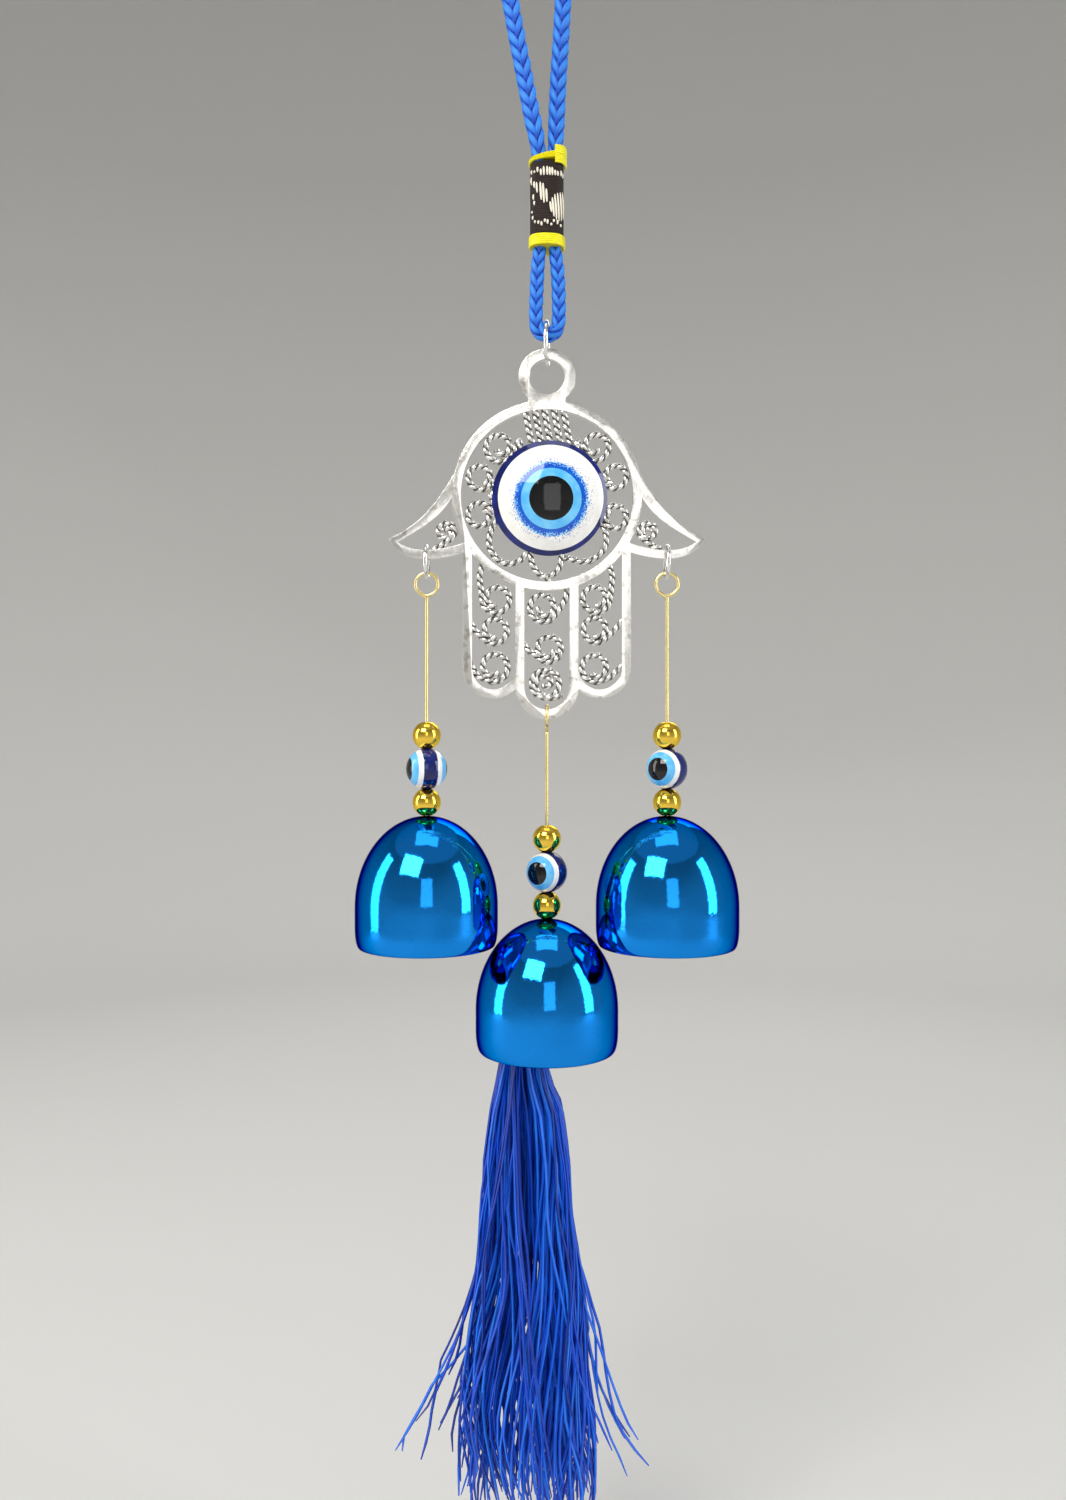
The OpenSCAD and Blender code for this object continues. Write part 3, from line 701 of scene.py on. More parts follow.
@dataclass(frozen=True)
class StageCard(Finish):
    """Matt studio paper, pale on the floor, with painted shade that greys it up the wall."""

    colour: str = "#d2d1ce"
    high: str = "#b4b3b0"
    # Heights in millimetres between which the painted shade on the wall deepens
    low_edge: float = -420.0
    high_edge: float = 650.0

    def paint(self, tree: bpy.types.NodeTree, shader: bpy.types.Node) -> None:
        """Wire the shader."""
        tooth = add_node(tree, "ShaderNodeTexNoise", {"Vector": self.places(tree), "Scale": 0.5,
                                                      "Detail": 4.0})
        bump = add_node(tree, "ShaderNodeBump", {"Height": tooth.outputs["Fac"], "Strength": 0.04,
                                                 "Distance": 0.2 * MM})
        # Painted shade: the paper greys with height
        height = add_node(tree, "ShaderNodeSeparateXYZ", {"Vector": self.places(tree)})
        share = add_node(tree, "ShaderNodeMapRange", {"Value": height.outputs["Z"], "From Min": self.low_edge,
                                                      "From Max": self.high_edge})
        paper = add_node(tree, "ShaderNodeMix", {"Factor": share.outputs["Result"], 6: linear(self.colour),
                                                 7: linear(self.high)}, data_type="RGBA")
        feed(tree, shader, {"Base Color": paper.outputs[2], "Normal": bump.outputs[0], "Roughness": 0.9})


BRAID = Filament("Braided polyester cord", "braided_cord", relief=0.5, sheen=0.06)
YELLOW = Filament("Yellow polyester thread", "yellow_thread", "#c9b400", "#f4ec10", "#fff64a", sheen=0.2)
DARK_WRAP = Filament("Dark waxed thread", "wrap_thread", "#0c0806", "#241813", "#4a3a30", sheen=0.15)
CREAM = Filament("Cream cotton thread", "wrap_thread", "#b9a88c", "#efe6d2", "#fffaf0", sheen=0.4)
RAYON = Filament("Royal blue rayon thread", "tassel_thread", "#032070", "#0a49d2", "#2b86f8", lines=5.0,
                 run=8.0, sheen=0.08, roughness=0.42, relief=0.2)
CASTING = CastSilver("Silver-plated zinc casting", "antique_silver")
TWIST = TwistedSilver("Silver-plated twisted wire", "antique_silver", tarnish="#b9b4ac", roughness=0.24,
                      grain=0.2)
RING_WIRE = CastSilver("Plated steel ring wire", "ring_steel", tarnish="#c9c5bc", roughness=0.14, relief=0.06)
CLAPPER = CastSilver("Plated zinc clapper", "clapper_metal", roughness=0.3)
PIN = PlatedMetal("Gilt brass pin wire", "pin_wire", "#f4dfa0", "#fff8e0", "#9a7431", roughness=0.2)
GILT = PlatedMetal("Gilt metallised bead", "gold_bead", "#f8d050", "#fff3a8", "#6a4310", roughness=0.1)
BELL = PlatedMetal("Blue electroplated brass", "blue_plate", "#1c8cea", "#0a2f7a", "#0a3f7a", roughness=0.07,
                   relief=0.04)
NAVY = LampGlass("Navy lamp glass", "navy_glass", "#0b1550", "#15247c")
WHITE = SprinkledGlass("White lamp glass with blue flecks", "white_glass", "#eeece8", "#f8f7f4",
                       grain="#3f7fd0", grain_size=0.4, closeness=0.5)
DEEP = SprinkledGlass("Cobalt lamp glass with light grains", "deep_blue_glass", "#0a4fc0", "#1268d8",
                      grain="#9fd4f8", grain_size=0.42, closeness=0.72)
LIGHT = LampGlass("Sky blue lamp glass", "light_blue_glass", "#4fb2f0", "#7accf8")
BLACK = LampGlass("Black lamp glass", "black_glass", "#050506", "#0c0c0f")
BEAD_WHITE = LampGlass("White bead glass", "white_glass", "#f1f1ef", "#fbfbfa")
PAPER = StageCard("Matt studio paper", "")


# ---------------------------------------------------------------- studio


@dataclass
class Studio:
    """Camera, lights and a round pale ground that curves up into a wall."""

    eye: Vector = field(default_factory=lambda: Vector((0.0, -0.290, -0.2234)))
    lens: float = 26.1
    floor_z: float = -0.47
    flat_radius: float = 0.9
    bend_radius: float = 0.5
    wall_top: float = 1.25

    def place_camera(self) -> None:
        """Set the camera in front of the ornament, level with its middle."""
        data = bpy.data.cameras.new("front_camera")
        data.lens = self.lens
        data.sensor_width = 36.0
        data.clip_start = 0.01
        camera = bpy.data.objects.new("front_camera", data)
        camera.location = self.eye
        camera.rotation_euler = (math.pi / 2, 0.0, 0.0)
        bpy.context.scene.collection.objects.link(camera)
        bpy.context.scene.camera = camera

    def lay_floor(self) -> None:
        """Turn the ground: a flat disc, a bend and a low wall."""
        bend = [
            (self.flat_radius + self.bend_radius * math.sin(angle), self.bend_radius * (1 - math.cos(angle)))
            for angle in [math.pi / 2 * step / 16 for step in range(17)]
        ]
        profile = [(0.0, 0.0)] + bend + [(self.flat_radius + self.bend_radius, self.wall_top - self.floor_z)]
        ground = turned("studio_ground", profile, Vector((0, 0, self.floor_z)), 96, closed=False)
        smooth(ground, 60)
        ground.data.materials.append(PAPER.material())

    @staticmethod
    def light(name: str, place: Row, aim: Row, size: tuple[float, float], power: float, colour: str) -> None:
        """Add one soft box.

        Args:
            name: Its name.
            place: Where it stands.
            aim: The point that it faces.
            size: Its width and height.
            power: Its power in watts.
            colour: Its colour.
        """
        data = bpy.data.lights.new(name, "AREA")
        data.shape = "RECTANGLE"
        data.size, data.size_y = size
        data.energy = power
        data.color = linear(colour)[:3]
        lamp = bpy.data.objects.new(name, data)
        lamp.location = place
        lamp.rotation_euler = (Vector(aim) - Vector(place)).to_track_quat("-Z", "Y").to_euler()
        bpy.context.scene.collection.objects.link(lamp)

    def light_up(self) -> None:
        """Soft key light from the upper front, fills from the sides and behind, and a pale sky."""
        middle = (0.0, 0.0, -0.2)
        self.light("key_box", (-0.4, -0.7, 0.5), middle, (0.6, 0.45), 8.0, "#fffdf8")
        self.light("front_box", (0.08, -1.1, 0.04), middle, (0.36, 0.6), 0.85, "#ffffff")
        self.light("right_fill", (0.95, -0.35, 0.05), middle, (0.3, 0.9), 4.5, "#f4f8ff")
        self.light("left_fill", (-0.95, -0.1, 0.0), middle, (0.3, 0.9), 3.5, "#ffffff")
        self.light("back_fill", (0.25, 0.95, 0.4), middle, (0.7, 0.5), 2.5, "#ffffff")
        self.light("ground_wash", (0.0, 0.0, 1.2), (0.0, 0.6, -0.47), (0.8, 0.8), 3.0, "#ffffff")
        world = bpy.data.worlds.new("pale_sky")
        world.use_nodes = True
        background = world.node_tree.nodes["Background"]
        background.inputs["Color"].default_value = linear("#f1f3f6")
        background.inputs["Strength"].default_value = 0.42
        bpy.context.scene.world = world
        bpy.context.scene.view_settings.view_transform = "Standard"

    def build(self) -> None:
        """Make the camera, the ground and the lights."""
        self.place_camera()
        self.lay_floor()
        self.light_up()


# ---------------------------------------------------------------- cord, bands and wrap

# Routes of the braid in millimetres: x, y, z and the share of full thickness it keeps there
LOOP_ROUTE = [
    (1.9, -0.6, -74, 0.76), (1.8, -0.6, -68, 0.76), (1.2, -0.7, -62, 0.9), (0, -0.7, -56, 1),
    (-1.9, -0.6, -46, 1), (-4, -0.4, -35, 1), (-6.2, -0.2, -23, 1), (-8, 0, -14, 1),
    (-9.4, 0, -6.5, 1), (-8.8, 0, -3.2, 1), (-6.7, 0, -0.2, 1), (-3.6, 0, 1.8, 1), (0, 0, 2.5, 1),
    (3.6, 0, 1.8, 1), (6.7, 0, -0.2, 1), (8.8, 0, -3.2, 1), (9.4, 0, -6.5, 1),
    (8.8, 0, -14, 1), (8.1, 0.2, -23, 1), (7.4, 0.4, -35, 1), (6.7, 0.6, -46, 1),
    (6.3, 0.7, -56, 1), (6, 0.7, -62, 0.9), (5.6, 0.6, -68, 0.76), (5.5, 0.6, -74, 0.76),
]
BIGHT_ROUTE = [
    (2, 0, -79, 0.8), (2, 0, -84, 0.8), (1.8, 0, -89, 0.9), (1.2, 0, -96, 1), (0.9, 0, -103, 1),
    (0.8, 0, -108, 1), (1.1, 0, -110.8, 1), (2, 0, -112.2, 1), (3.7, 0, -112.8, 1),
    (5.4, 0, -112.2, 1), (6.5, 0, -110.8, 1), (6.9, 0, -108, 1), (6.9, 0, -103, 1),
    (6.6, 0, -96, 1), (5.8, 0, -89, 0.9), (5.4, 0, -84, 0.8), (5.4, 0, -79, 0.8),
]


@dataclass
class BraidedCord:
    """Twelve flat strands braided over a core, six running each way, over three and under three."""

    name: str
    stops: Sequence[Row]
    diameter: float
    # Length of one turn of a strand, as a share of the diameter
    pitch_share: float = 4.7
    carriers: int = 6
    # Quarter turns of the ribs on the first and on the second leg of the loop
    first_leg: float = 0.0
    second_leg: float = 0.0
    # Length over which the ribs turn from one to the other, at the middle of the route
    change: float = 18 * MM

    def route(self) -> list[list[float]]:
        """Centre line in metres, with the share of thickness as the fourth number."""
        stops = [[x * MM, y * MM, z * MM, share] for x, y, z, share in self.stops]
        return smooth_route(stops, 0.45 * MM)

    def build(self) -> bpy.types.Object:
        """Sweep the core and the strands.

        Returns:
            The cord, without its material.
        """
        route = self.route()
        directions = headings(route)
        whole = route_length(route)
        step = whole / (len(route) - 1)
        pitch = self.pitch_share * self.diameter
        middle_radius, swing = 0.3 * self.diameter, 0.095 * self.diameter
        half_width, half_depth = 0.175 * self.diameter, 0.11 * self.diameter
        fronts = [upright_to(direction, Vector((0, 1, 0))) for direction in directions]
        shell = Shell()
        core = [0.28 * self.diameter * row[3] for row in route]
        # The core gets the deepest tone, as painted shade seen between the strands
        shell.strand(route, fronts, [(r, r) for r in core], [0.0] * len(route), 10)
        pick_tone = random.Random(7)
        for sense in (-1, 1):
            for carrier in range(self.carriers):
                shade = pick_tone.uniform(-0.06, 0.06)
                line, outward, sizes, tones = [], [], [], []
                for place, row in enumerate(route):
                    travelled = place * step
                    blend = min(max((travelled - whole / 2) / self.change + 0.5, 0.0), 1.0)
                    rib = math.pi / 2 * (self.first_leg + (self.second_leg - self.first_leg) * blend)
                    angle = sense * TURN * travelled / pitch + TURN * carrier / self.carriers
                    lift = -sense * math.cos(2 * (angle - math.pi / 4 - rib))
                    across = directions[place].cross(fronts[place])
                    away = across * math.cos(angle) + fronts[place] * math.sin(angle)
                    radius = row[3] * (middle_radius + swing * lift)
                    line.append((Vector(row[:3]) + away * radius)[:])
                    outward.append(away)
                    sizes.append((row[3] * half_width * (0.88 + 0.12 * lift), row[3] * half_depth))
                    # Painted shade and light: a strand is darker where it dips under the others and lighter
                    # where it rides over them, plus a small random tone of its own
                    tones.append(0.6 + 0.45 * lift + shade)
                shell.strand(line, outward, sizes, tones, 8)
        return shell.build(self.name)


@dataclass
class OvalPost:
    """A post with round ends, as two strands side by side fill it."""

    centre: Vector
    width: float
    depth: float

    @classmethod
    def within(cls, node: str, inset: float) -> "OvalPost":
        """The post that fills a CAD node's box, less an inset on each side."""
        low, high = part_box(node)
        return cls((low + high) / 2, high.x - low.x - 2 * inset, high.y - low.y - 2 * inset)

    def spot(self, share: float) -> tuple[Vector, Vector]:
        """Point on the outline and its outward direction, for a share of the way round from the back."""
        half_flat = (self.width - self.depth) / 2
        angle = TURN * share + math.pi / 2
        outward = Vector((math.cos(angle), math.sin(angle), 0.0))
        shift = half_flat * max(-1.0, min(1.0, outward.x * 1.6))
        return self.centre + Vector((shift, 0, 0)) + outward * (self.depth / 2), outward

    def winding(
        self,
        shell: Shell,
        top: float,
        bottom: float,
        thread: float,
        rise: Callable[[float], tuple[float, float]] = lambda left: (0.0, 0.0),
    ) -> None:
        """Wind thread round the post from top to bottom.

        Args:
            shell: The mesh it joins.
            top: Height of its upper edge.
            bottom: Height of its lower edge.
            thread: Thickness of the thread.
            rise: For a share of the width from the left, how far the upper and the lower edge are moved up.
        """
        turns = max(2, round((top - bottom) / thread))
        around = 40
        pick_tone = random.Random(turns)
        line, outward, sizes, tones = [], [], [], []
        half_height = (top - bottom) / turns / 2
        for step in range(turns * around + 1):
            share = step / around
            point, away = self.spot(share % 1.0)
            left = (point.x - self.centre.x) / self.width + 0.5
            upper, lower = rise(left)
            down = min(max(share / turns, 0.0), 1.0)
            height = (top + upper - half_height) * (1 - down) + (bottom + lower + half_height) * down
            stretch = (top + upper - bottom - lower) / (top - bottom)
            line.append((point.x - away.x * thread * 0.3, point.y - away.y * thread * 0.3, height))
            outward.append(away)
            sizes.append((half_height * 1.12 * stretch, thread * 0.5))
            tones.append(0.55 + pick_tone.uniform(-0.1, 0.1))
        shell.strand(line, outward, sizes, tones, 6)

    def sleeve(self, shell: Shell, top: float, bottom: float, inset: float) -> None:
        """Close the post behind the thread.

        Args:
            shell: The mesh it joins.
            top: Height of its upper face.
            bottom: Height of its lower face.
            inset: How far it lies inside the post.
        """
        base = len(shell.points)
        around = 40
        for height in (bottom, top):
            for step in range(around):
                point, away = self.spot(step / around)
                shell.points.append((point.x - away.x * inset, point.y - away.y * inset, height))
                # The sleeve takes a low tone: painted shade seen between the turns of thread
                shell.lay.append((0.0, 0.0, 0.1))
        for step in range(around):
            turn = (step + 1) % around
            shell.faces.append((base + step, base + turn, base + around + turn, base + around + step))
        shell.faces.append(tuple(base + step for step in reversed(range(around))))
        shell.faces.append(tuple(base + around + step for step in range(around)))


@dataclass
class Hanger:
    """Hanging loop, lower loop, two yellow bands and the stitched wrap."""

    cord: float = 5.0 * MM
    bight: float = 4.2 * MM
    band_thread: float = 0.62 * MM
    wrap_thread: float = 0.5 * MM
    # How far the windings lie inside their nodes' boxes
    band_inset: float = 0.1 * MM
    wrap_inset: float = 0.05 * MM
    body: str = "hanger"

    def build_cords(self) -> None:
        """Braid the hanging loop and the lower loop."""
        loop = BraidedCord("braided_loop", LOOP_ROUTE, self.cord, second_leg=1.0)
        piece = loop.build()
        fit(piece, BRAID, self.body, "hanging_loop_cord")
        lower = BraidedCord("braided_bight", BIGHT_ROUTE, self.bight, first_leg=1.0, change=6 * MM)
        fit(lower.build(), BRAID, self.body, "lower_loop_cord")

    def build_bands(self) -> None:
        """Wind the yellow bands; the upper one rises to the right, where its end is folded over."""
        low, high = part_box("upper_band")
        height = high.z - low.z

        def slope(left: float) -> tuple[float, float]:
            """How far the two edges of the upper band are moved up."""
            return -0.46 * height * (1 - left) - 0.1 * height, 0.1 * height + 0.24 * height * left

        shell = Shell()
        post = OvalPost.within("upper_band", self.band_inset)
        post.winding(shell, high.z, low.z, self.band_thread, slope)
        post.sleeve(shell, low.z + 0.55 * height, low.z + 0.3 * height, 0.5 * MM)
        fold = OvalPost(post.centre, post.width + 0.5 * MM, post.depth + 0.5 * MM)
        start, end = 0.56, 0.78
        for thread in range(8):
            level = high.z - (thread + 0.5) * height / 8
            line, outward = [], []
            for step in range(17):
                point, away = fold.spot(end - (end - start) * step / 16)
                lift = 0.16 * MM * math.sin(math.pi * step / 16)
                line.append((point.x, point.y + away.y * lift,
                             level + (0.35 - 0.3 * step / 16) * MM * (1 if thread < 4 else 0)))
                outward.append(away)
            self.mirror_if_left(line, outward, post.centre.x)
            shell.strand(line, outward, [(height / 14, 0.3 * MM)] * 17, [0.7] * 17, 8)
        fit(shell.build("upper_yellow_winding"), YELLOW, self.body, "upper_band")
        low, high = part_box("lower_band")
        shell = Shell()
        post = OvalPost.within("lower_band", self.band_inset)
        post.winding(shell, high.z, low.z, self.band_thread)
        post.sleeve(shell, high.z - 0.3 * MM, low.z + 0.3 * MM, 0.5 * MM)
        fit(shell.build("lower_yellow_winding"), YELLOW, self.body, "lower_band")

    @staticmethod
    def mirror_if_left(line: list[Row], outward: list[Vector], middle: float) -> None:
        """Keep a thread on the right of the cord.

        Args:
            line: Its centre line, changed in place.
            outward: Its outward directions, changed in place.
            middle: Where the cord's middle is.
        """
        if sum(row[0] for row in line) / len(line) < middle:
            for place, row in enumerate(line):
                line[place] = (2 * middle - row[0], row[1], row[2])
                outward[place] = Vector((-outward[place].x, outward[place].y, outward[place].z))

    def build_wrap(self) -> None:
        """Wind the dark wrap and sew the cream stitches over it."""
        low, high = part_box("thread_wrap")
        post = OvalPost.within("thread_wrap", self.wrap_inset)
        shell = Shell()
        post.winding(shell, high.z + 1.4 * MM, low.z - 0.2 * MM, self.wrap_thread,
                     lambda left: (-0.8 * MM * (1 - left), 0.0))
        post.sleeve(shell, high.z + 0.5 * MM, low.z, 0.35 * MM)
        fit(shell.build("wrap_winding"), DARK_WRAP, self.body, "thread_wrap")
        stitches = Shell()
        pick_size = random.Random(3)
        for across, top, bottom, lean in self.stitch_rows():
            across += pick_size.uniform(-0.12, 0.12)
            self.stitch(stitches, post, high.z, (across, top + pick_size.uniform(-0.3, 0.3), bottom, lean))
        fit(stitches.build("cream_stitches"), CREAM, self.body)

    @staticmethod
    def stitch_rows() -> list[tuple[float, float, float, float]]:
        """Each stitch: millimetres right of the middle, top and bottom below the wrap, and its lean."""
        rows = [(-3.9 + 0.7 * k, 1.3 + 0.5 * (k % 2), 2.4, 0.0) for k in range(3)]
        rows += [(-1.5 + 0.72 * k, 0.9 + 0.25 * abs(k - 2), 3.3, 0.1) for k in range(7)]
        rows += [(3.6, 1.9, 3.1, 0.0), (-4.1, 3.0, 5.2, 0.1), (4.1, 2.4, 3.3, 0.0)]
        rows += [(-3.4, 4.6, 6.4, 0.1), (-2.7, 4.8, 7.8, 0.2), (-1.7, 4.8, 9.8, 0.3), (-0.9, 5.2, 10.6, 0.3),
                 (-0.1, 6.6, 10.4, 0.2), (-3.6, 8.2, 9.4, 0.0), (-3.2, 10.0, 10.9, 0.0)]
        rows += [(0.9, 10.3, 13.0, 0.4), (1.6, 9.3, 14.2, 0.5), (2.3, 8.4, 15.0, 0.5), (3.0, 7.8, 15.2, 0.4),
                 (3.6, 7.2, 14.9, 0.3), (4.1, 6.8, 14.2, 0.2)]
        rows += [(-3.9, 12.0, 12.8, 0.0), (-3.7, 13.8, 14.6, 0.0)]
        rows += [(-3.2 + 0.85 * k, 14.8 + 0.45 * (k % 3), 15.7 + 0.45 * (k % 3), 0.0) for k in range(9)]
        return rows

    @staticmethod
    def stitch(shell: Shell, post: OvalPost, wrap_top: float, size: Row) -> None:
        """Add one stitch to the front and one to the back.

        Args:
            shell: The mesh it joins.
            post: The wrap's outline.
            wrap_top: Height of the wrap's top.
            size: Millimetres right of the middle, top and bottom below the wrap's top, and its lean.
        """
        across, top, bottom, lean = size
        steps = 10
        for side in (-1, 1):
            line, outward, sizes = [], [], []
            for step in range(steps + 1):
                share = step / steps
                x = (across - side * lean * (share - 0.5)) * MM * -side
                half_flat = (post.width - post.depth) / 2
                over = max(0.0, abs(x) - half_flat)
                y = math.sqrt(max(0.0, (post.depth / 2) ** 2 - over ** 2))
                away = Vector((math.copysign(over, x), side * y, 0.0)).normalized()
                lift = 0.26 * MM * math.sin(math.pi * min(max(share, 0.04), 0.96)) ** 0.5 - 0.1 * MM
                height = wrap_top - (top + (bottom - top) * share) * MM
                line.append((post.centre.x + x + away.x * lift, post.centre.y + side * y + away.y * lift,
                             height))
                outward.append(away)
                swell = 0.12 * MM + 0.17 * MM * math.sin(math.pi * share) ** 0.4
                sizes.append((swell, swell * 0.8))
            shell.strand(line, outward, sizes, [0.75] * (steps + 1), 8)

    def build(self) -> None:
        """Make the cords, the bands and the wrap."""
        self.build_cords()
        self.build_bands()
        self.build_wrap()


# ---------------------------------------------------------------- rings and wires


@dataclass
class JumpRing:
    """A ring of wire cut once, so that it can be opened."""

    name: str
    node: str
    body: str
    # Turn about the upright axis from edge-on, in degrees, and where the cut is, in degrees from the top
    turn: float = 0.0
    cut: float = 140.0
    wire: float = 1.2 * MM
    segments: int = 72

    def build(self) -> None:
        """Bend the wire round with a narrow cut between its ends."""
        low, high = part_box(self.node)
        radius = (high.z - low.z - self.wire) / 2
        clear_selection()
        bpy.ops.mesh.primitive_torus_add(
            location=(0, 0, 0), major_radius=radius, minor_radius=self.wire / 2,
            major_segments=self.segments, minor_segments=16)
        ring = bpy.context.object
        ring.name = ring.data.name = self.name
        goal = math.radians(self.cut)
        half_step = math.pi / self.segments
        bpy.ops.object.mode_set(mode="EDIT")
        bpy.ops.mesh.select_mode(type="FACE")
        bpy.ops.object.mode_set(mode="OBJECT")
        for face in ring.data.polygons:
            gap = math.remainder(math.atan2(face.center.y, face.center.x) - goal - half_step, TURN)
            face.select = abs(gap) < half_step * 0.99
        bpy.ops.object.mode_set(mode="EDIT")
        bpy.ops.mesh.delete(type="FACE")
        bpy.ops.mesh.select_mode(type="EDGE")
        bpy.ops.mesh.select_all(action="DESELECT")
        bpy.ops.mesh.select_non_manifold()
        bpy.ops.mesh.edge_face_add()
        bpy.ops.mesh.select_mode(type="VERT")
        bpy.ops.object.mode_set(mode="OBJECT")
        settle(ring, (math.pi / 2, 0.0, math.pi / 2 - math.radians(self.turn)), (low + high) / 2)
        close_up(ring)
        smooth(ring, 40)
        fit(ring, RING_WIRE, self.body, self.node)


def ring_route(
    centre: Vector, radius: float, start: float, end: float, plane: Plane, steps: int
) -> list[Row]:
    """Points round a circle of wire.

    Args:
        centre: Its centre.
        radius: Its radius.
        start: First angle, in degrees anticlockwise from the right.
        end: Last angle.
        plane: The plane it lies in.
        steps: Number of steps.

    Returns:
        The points.
    """
    points = []
    for step in range(steps + 1):
        angle = math.radians(start + (end - start) * step / steps)
        across, up = radius * math.cos(angle), radius * math.sin(angle)
        x, y = (across, 0.0) if plane is Plane.FLAT else (0.0, across)
        points.append((centre.x + x, centre.y + y, centre.z + up))
    return points


# ---------------------------------------------------------------- hand


@dataclass
class Hand:
    """The cast hand, the twisted-wire scrolls in its windows, and the seat of the eye."""

    body: str = "hand"
    wire: float = 1.85 * MM
    # The five straight twists above the eye are a little thicker
    bundle_wire: float = 1.95 * MM
    twist_pitch: float = 4.2 * MM
    # Radius of the palm's ring in millimetres, which the straight twists reach
    palm_radius: float = 22.9
    # Routes of the scrolls, in millimetres from the middle of the palm: spirals are (x, z, outer radius,
    # inner radius, start angle, turns) with the tail's stops after them
    palm_scrolls: ClassVar[list[tuple[Row, list[Row]]]] = [
        ((-12.4, 12.8, 4.8, 2.1, -20, 1.35), [(-7.6, 14.6), (-6.9, 12.4)]),
        ((-17.6, 5.0, 4.3, 3.0, -15, 1.15), [(-13.8, 1.6), (-15.0, -0.2)]),
        ((-17.8, -5.3, 4.3, 3.0, 5, -1.15), [(-14.0, -1.8), (-15.2, 0.0)]),
        ((12.7, 13.0, 4.7, 2.1, 200, -1.35), [(8.2, 14.4), (7.8, 12.4)]),
        ((18.0, 5.2, 4.2, 2.9, 195, -1.15), [(14.4, 2.2), (15.2, 0.2)]),
        ((18.0, -6.0, 4.2, 2.9, 175, 1.15), [(14.4, -2.6), (15.2, -0.6)]),
    ]
    # For each finger, the seed of its first scroll and its scrolls from the top down
    finger_scrolls: ClassVar[dict[str, tuple[int, list[tuple[Row, list[Row]]]]]] = {
        "left": (31, [
            ((-13.6, -27.6, 4.6, 2.8, 200, -1.2), [(-17.6, -24.6), (-17.9, -21.5), (-17.2, -18.4)]),
            ((-14.1, -36.0, 4.4, 2.8, 215, -1.2), [(-18.6, -36.6), (-20.2, -34.2), (-20.6, -33.2)]),
            ((-14.2, -45.8, 4.7, 2.9, 240, -1.2), [(-18.4, -48.0), (-20.2, -45.4), (-20.8, -44.0)]),
        ]),
        "middle": (34, [
            ((-0.9, -30.0, 4.6, 2.1, -60, 1.35), [(3.4, -30.2), (5.0, -27.4), (5.4, -25.2)]),
            ((0.3, -40.9, 4.4, 2.7, 235, -1.3), [(-3.0, -42.6), (-5.0, -41.2), (-6.4, -39.2)]),
            ((-0.4, -50.2, 4.6, 1.3, 250, 2.1), [(1.4, -53.9), (3.8, -53.2)]),
        ]),
        "right": (37, [
            ((13.2, -27.4, 4.6, 2.8, -20, 1.2), [(17.2, -24.4), (17.4, -21.4), (16.6, -18.6)]),
            ((13.2, -35.7, 4.4, 2.8, -35, 1.2), [(17.4, -36.4), (19.2, -34.4), (20.0, -33.4)]),
            ((13.0, -46.0, 4.6, 2.9, -60, 1.2), [(16.8, -48.4), (18.8, -46.4), (20.2, -45.2)]),
        ]),
    }

    def centre(self) -> Vector:
        """Middle of the palm: across from the casting, and in height from where the scrolls start and end."""
        low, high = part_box("palm_filigree")
        return Vector((centre_of("hamsa_frame").x, 0.0, (low.z + high.z) / 2))

    def build_frame(self) -> None:
        """Round the casting's edges."""
        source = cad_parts["hamsa_frame"]
        mesh = source.data.copy()
        cast = bpy.data.objects.new("cast_hand", mesh)
        mesh.name = "cast_hand"
        bpy.context.scene.collection.objects.link(cast)
        pick(cast)
        bpy.ops.object.mode_set(mode="EDIT")
        bpy.ops.mesh.select_all(action="SELECT")
        bpy.ops.mesh.remove_doubles(threshold=0.002 * MM)
        bpy.ops.mesh.dissolve_limited(angle_limit=math.radians(1.0))
        bpy.ops.mesh.normals_make_consistent(inside=False)
        bpy.ops.object.mode_set(mode="OBJECT")
        if mesh.has_custom_normals:
            bpy.ops.mesh.customdata_custom_splitnormals_clear()
        add_modifier(cast, "BEVEL", width=0.5 * MM, segments=4, limit_method="ANGLE",
                     angle_limit=math.radians(50), harden_normals=False)
        smooth(cast, 30)
        fit(cast, CASTING, self.body, "hamsa_frame")

    def scroll(self, shell: Shell, coil: Row, tail: Sequence[Row], seed: int) -> None:
        """Twist one scroll: its coil from the inside out, then its tail.

        Args:
            shell: The mesh it joins.
            coil: Middle x and z, outer and inner radius, start angle in degrees, and turns.
            tail: Stops of the tail.
            seed: Choice of where the twist starts.
        """
        middle = self.centre()
        x, z, outer, inner, start, turns = coil
        steps = max(8, round(abs(turns) * 16))
        stops = []
        for step in range(steps + 1):
            share = step / steps
            radius = inner + (outer - inner) * min(1.0, share * 1.6) - self.wire / MM / 2
            angle = math.radians(start) + TURN * turns * (share - 1)
            stops.append((x + radius * math.cos(angle), z + radius * math.sin(angle)))
        stops += list(tail)
        rows = [(middle.x + a * MM, 0.0, middle.z + b * MM) for a, b in stops]
        twisted_pair(shell, smooth_route(rows, 0.3 * MM), self.wire, self.twist_pitch, seed)

    def line(self, shell: Shell, stops: Sequence[Row], seed: int, wire: Optional[float] = None) -> None:
        """Twist one scroll that only bends.

        Args:
            shell: The mesh it joins.
            stops: Its stops, in millimetres from the middle of the palm.
            seed: Choice of where the twist starts.
            wire: Its thickness, if not the usual.
        """
        middle = self.centre()
        rows = [(middle.x + a * MM, 0.0, middle.z + b * MM) for a, b in stops]
        twisted_pair(shell, smooth_route(rows, 0.3 * MM), wire or self.wire, self.twist_pitch, seed)

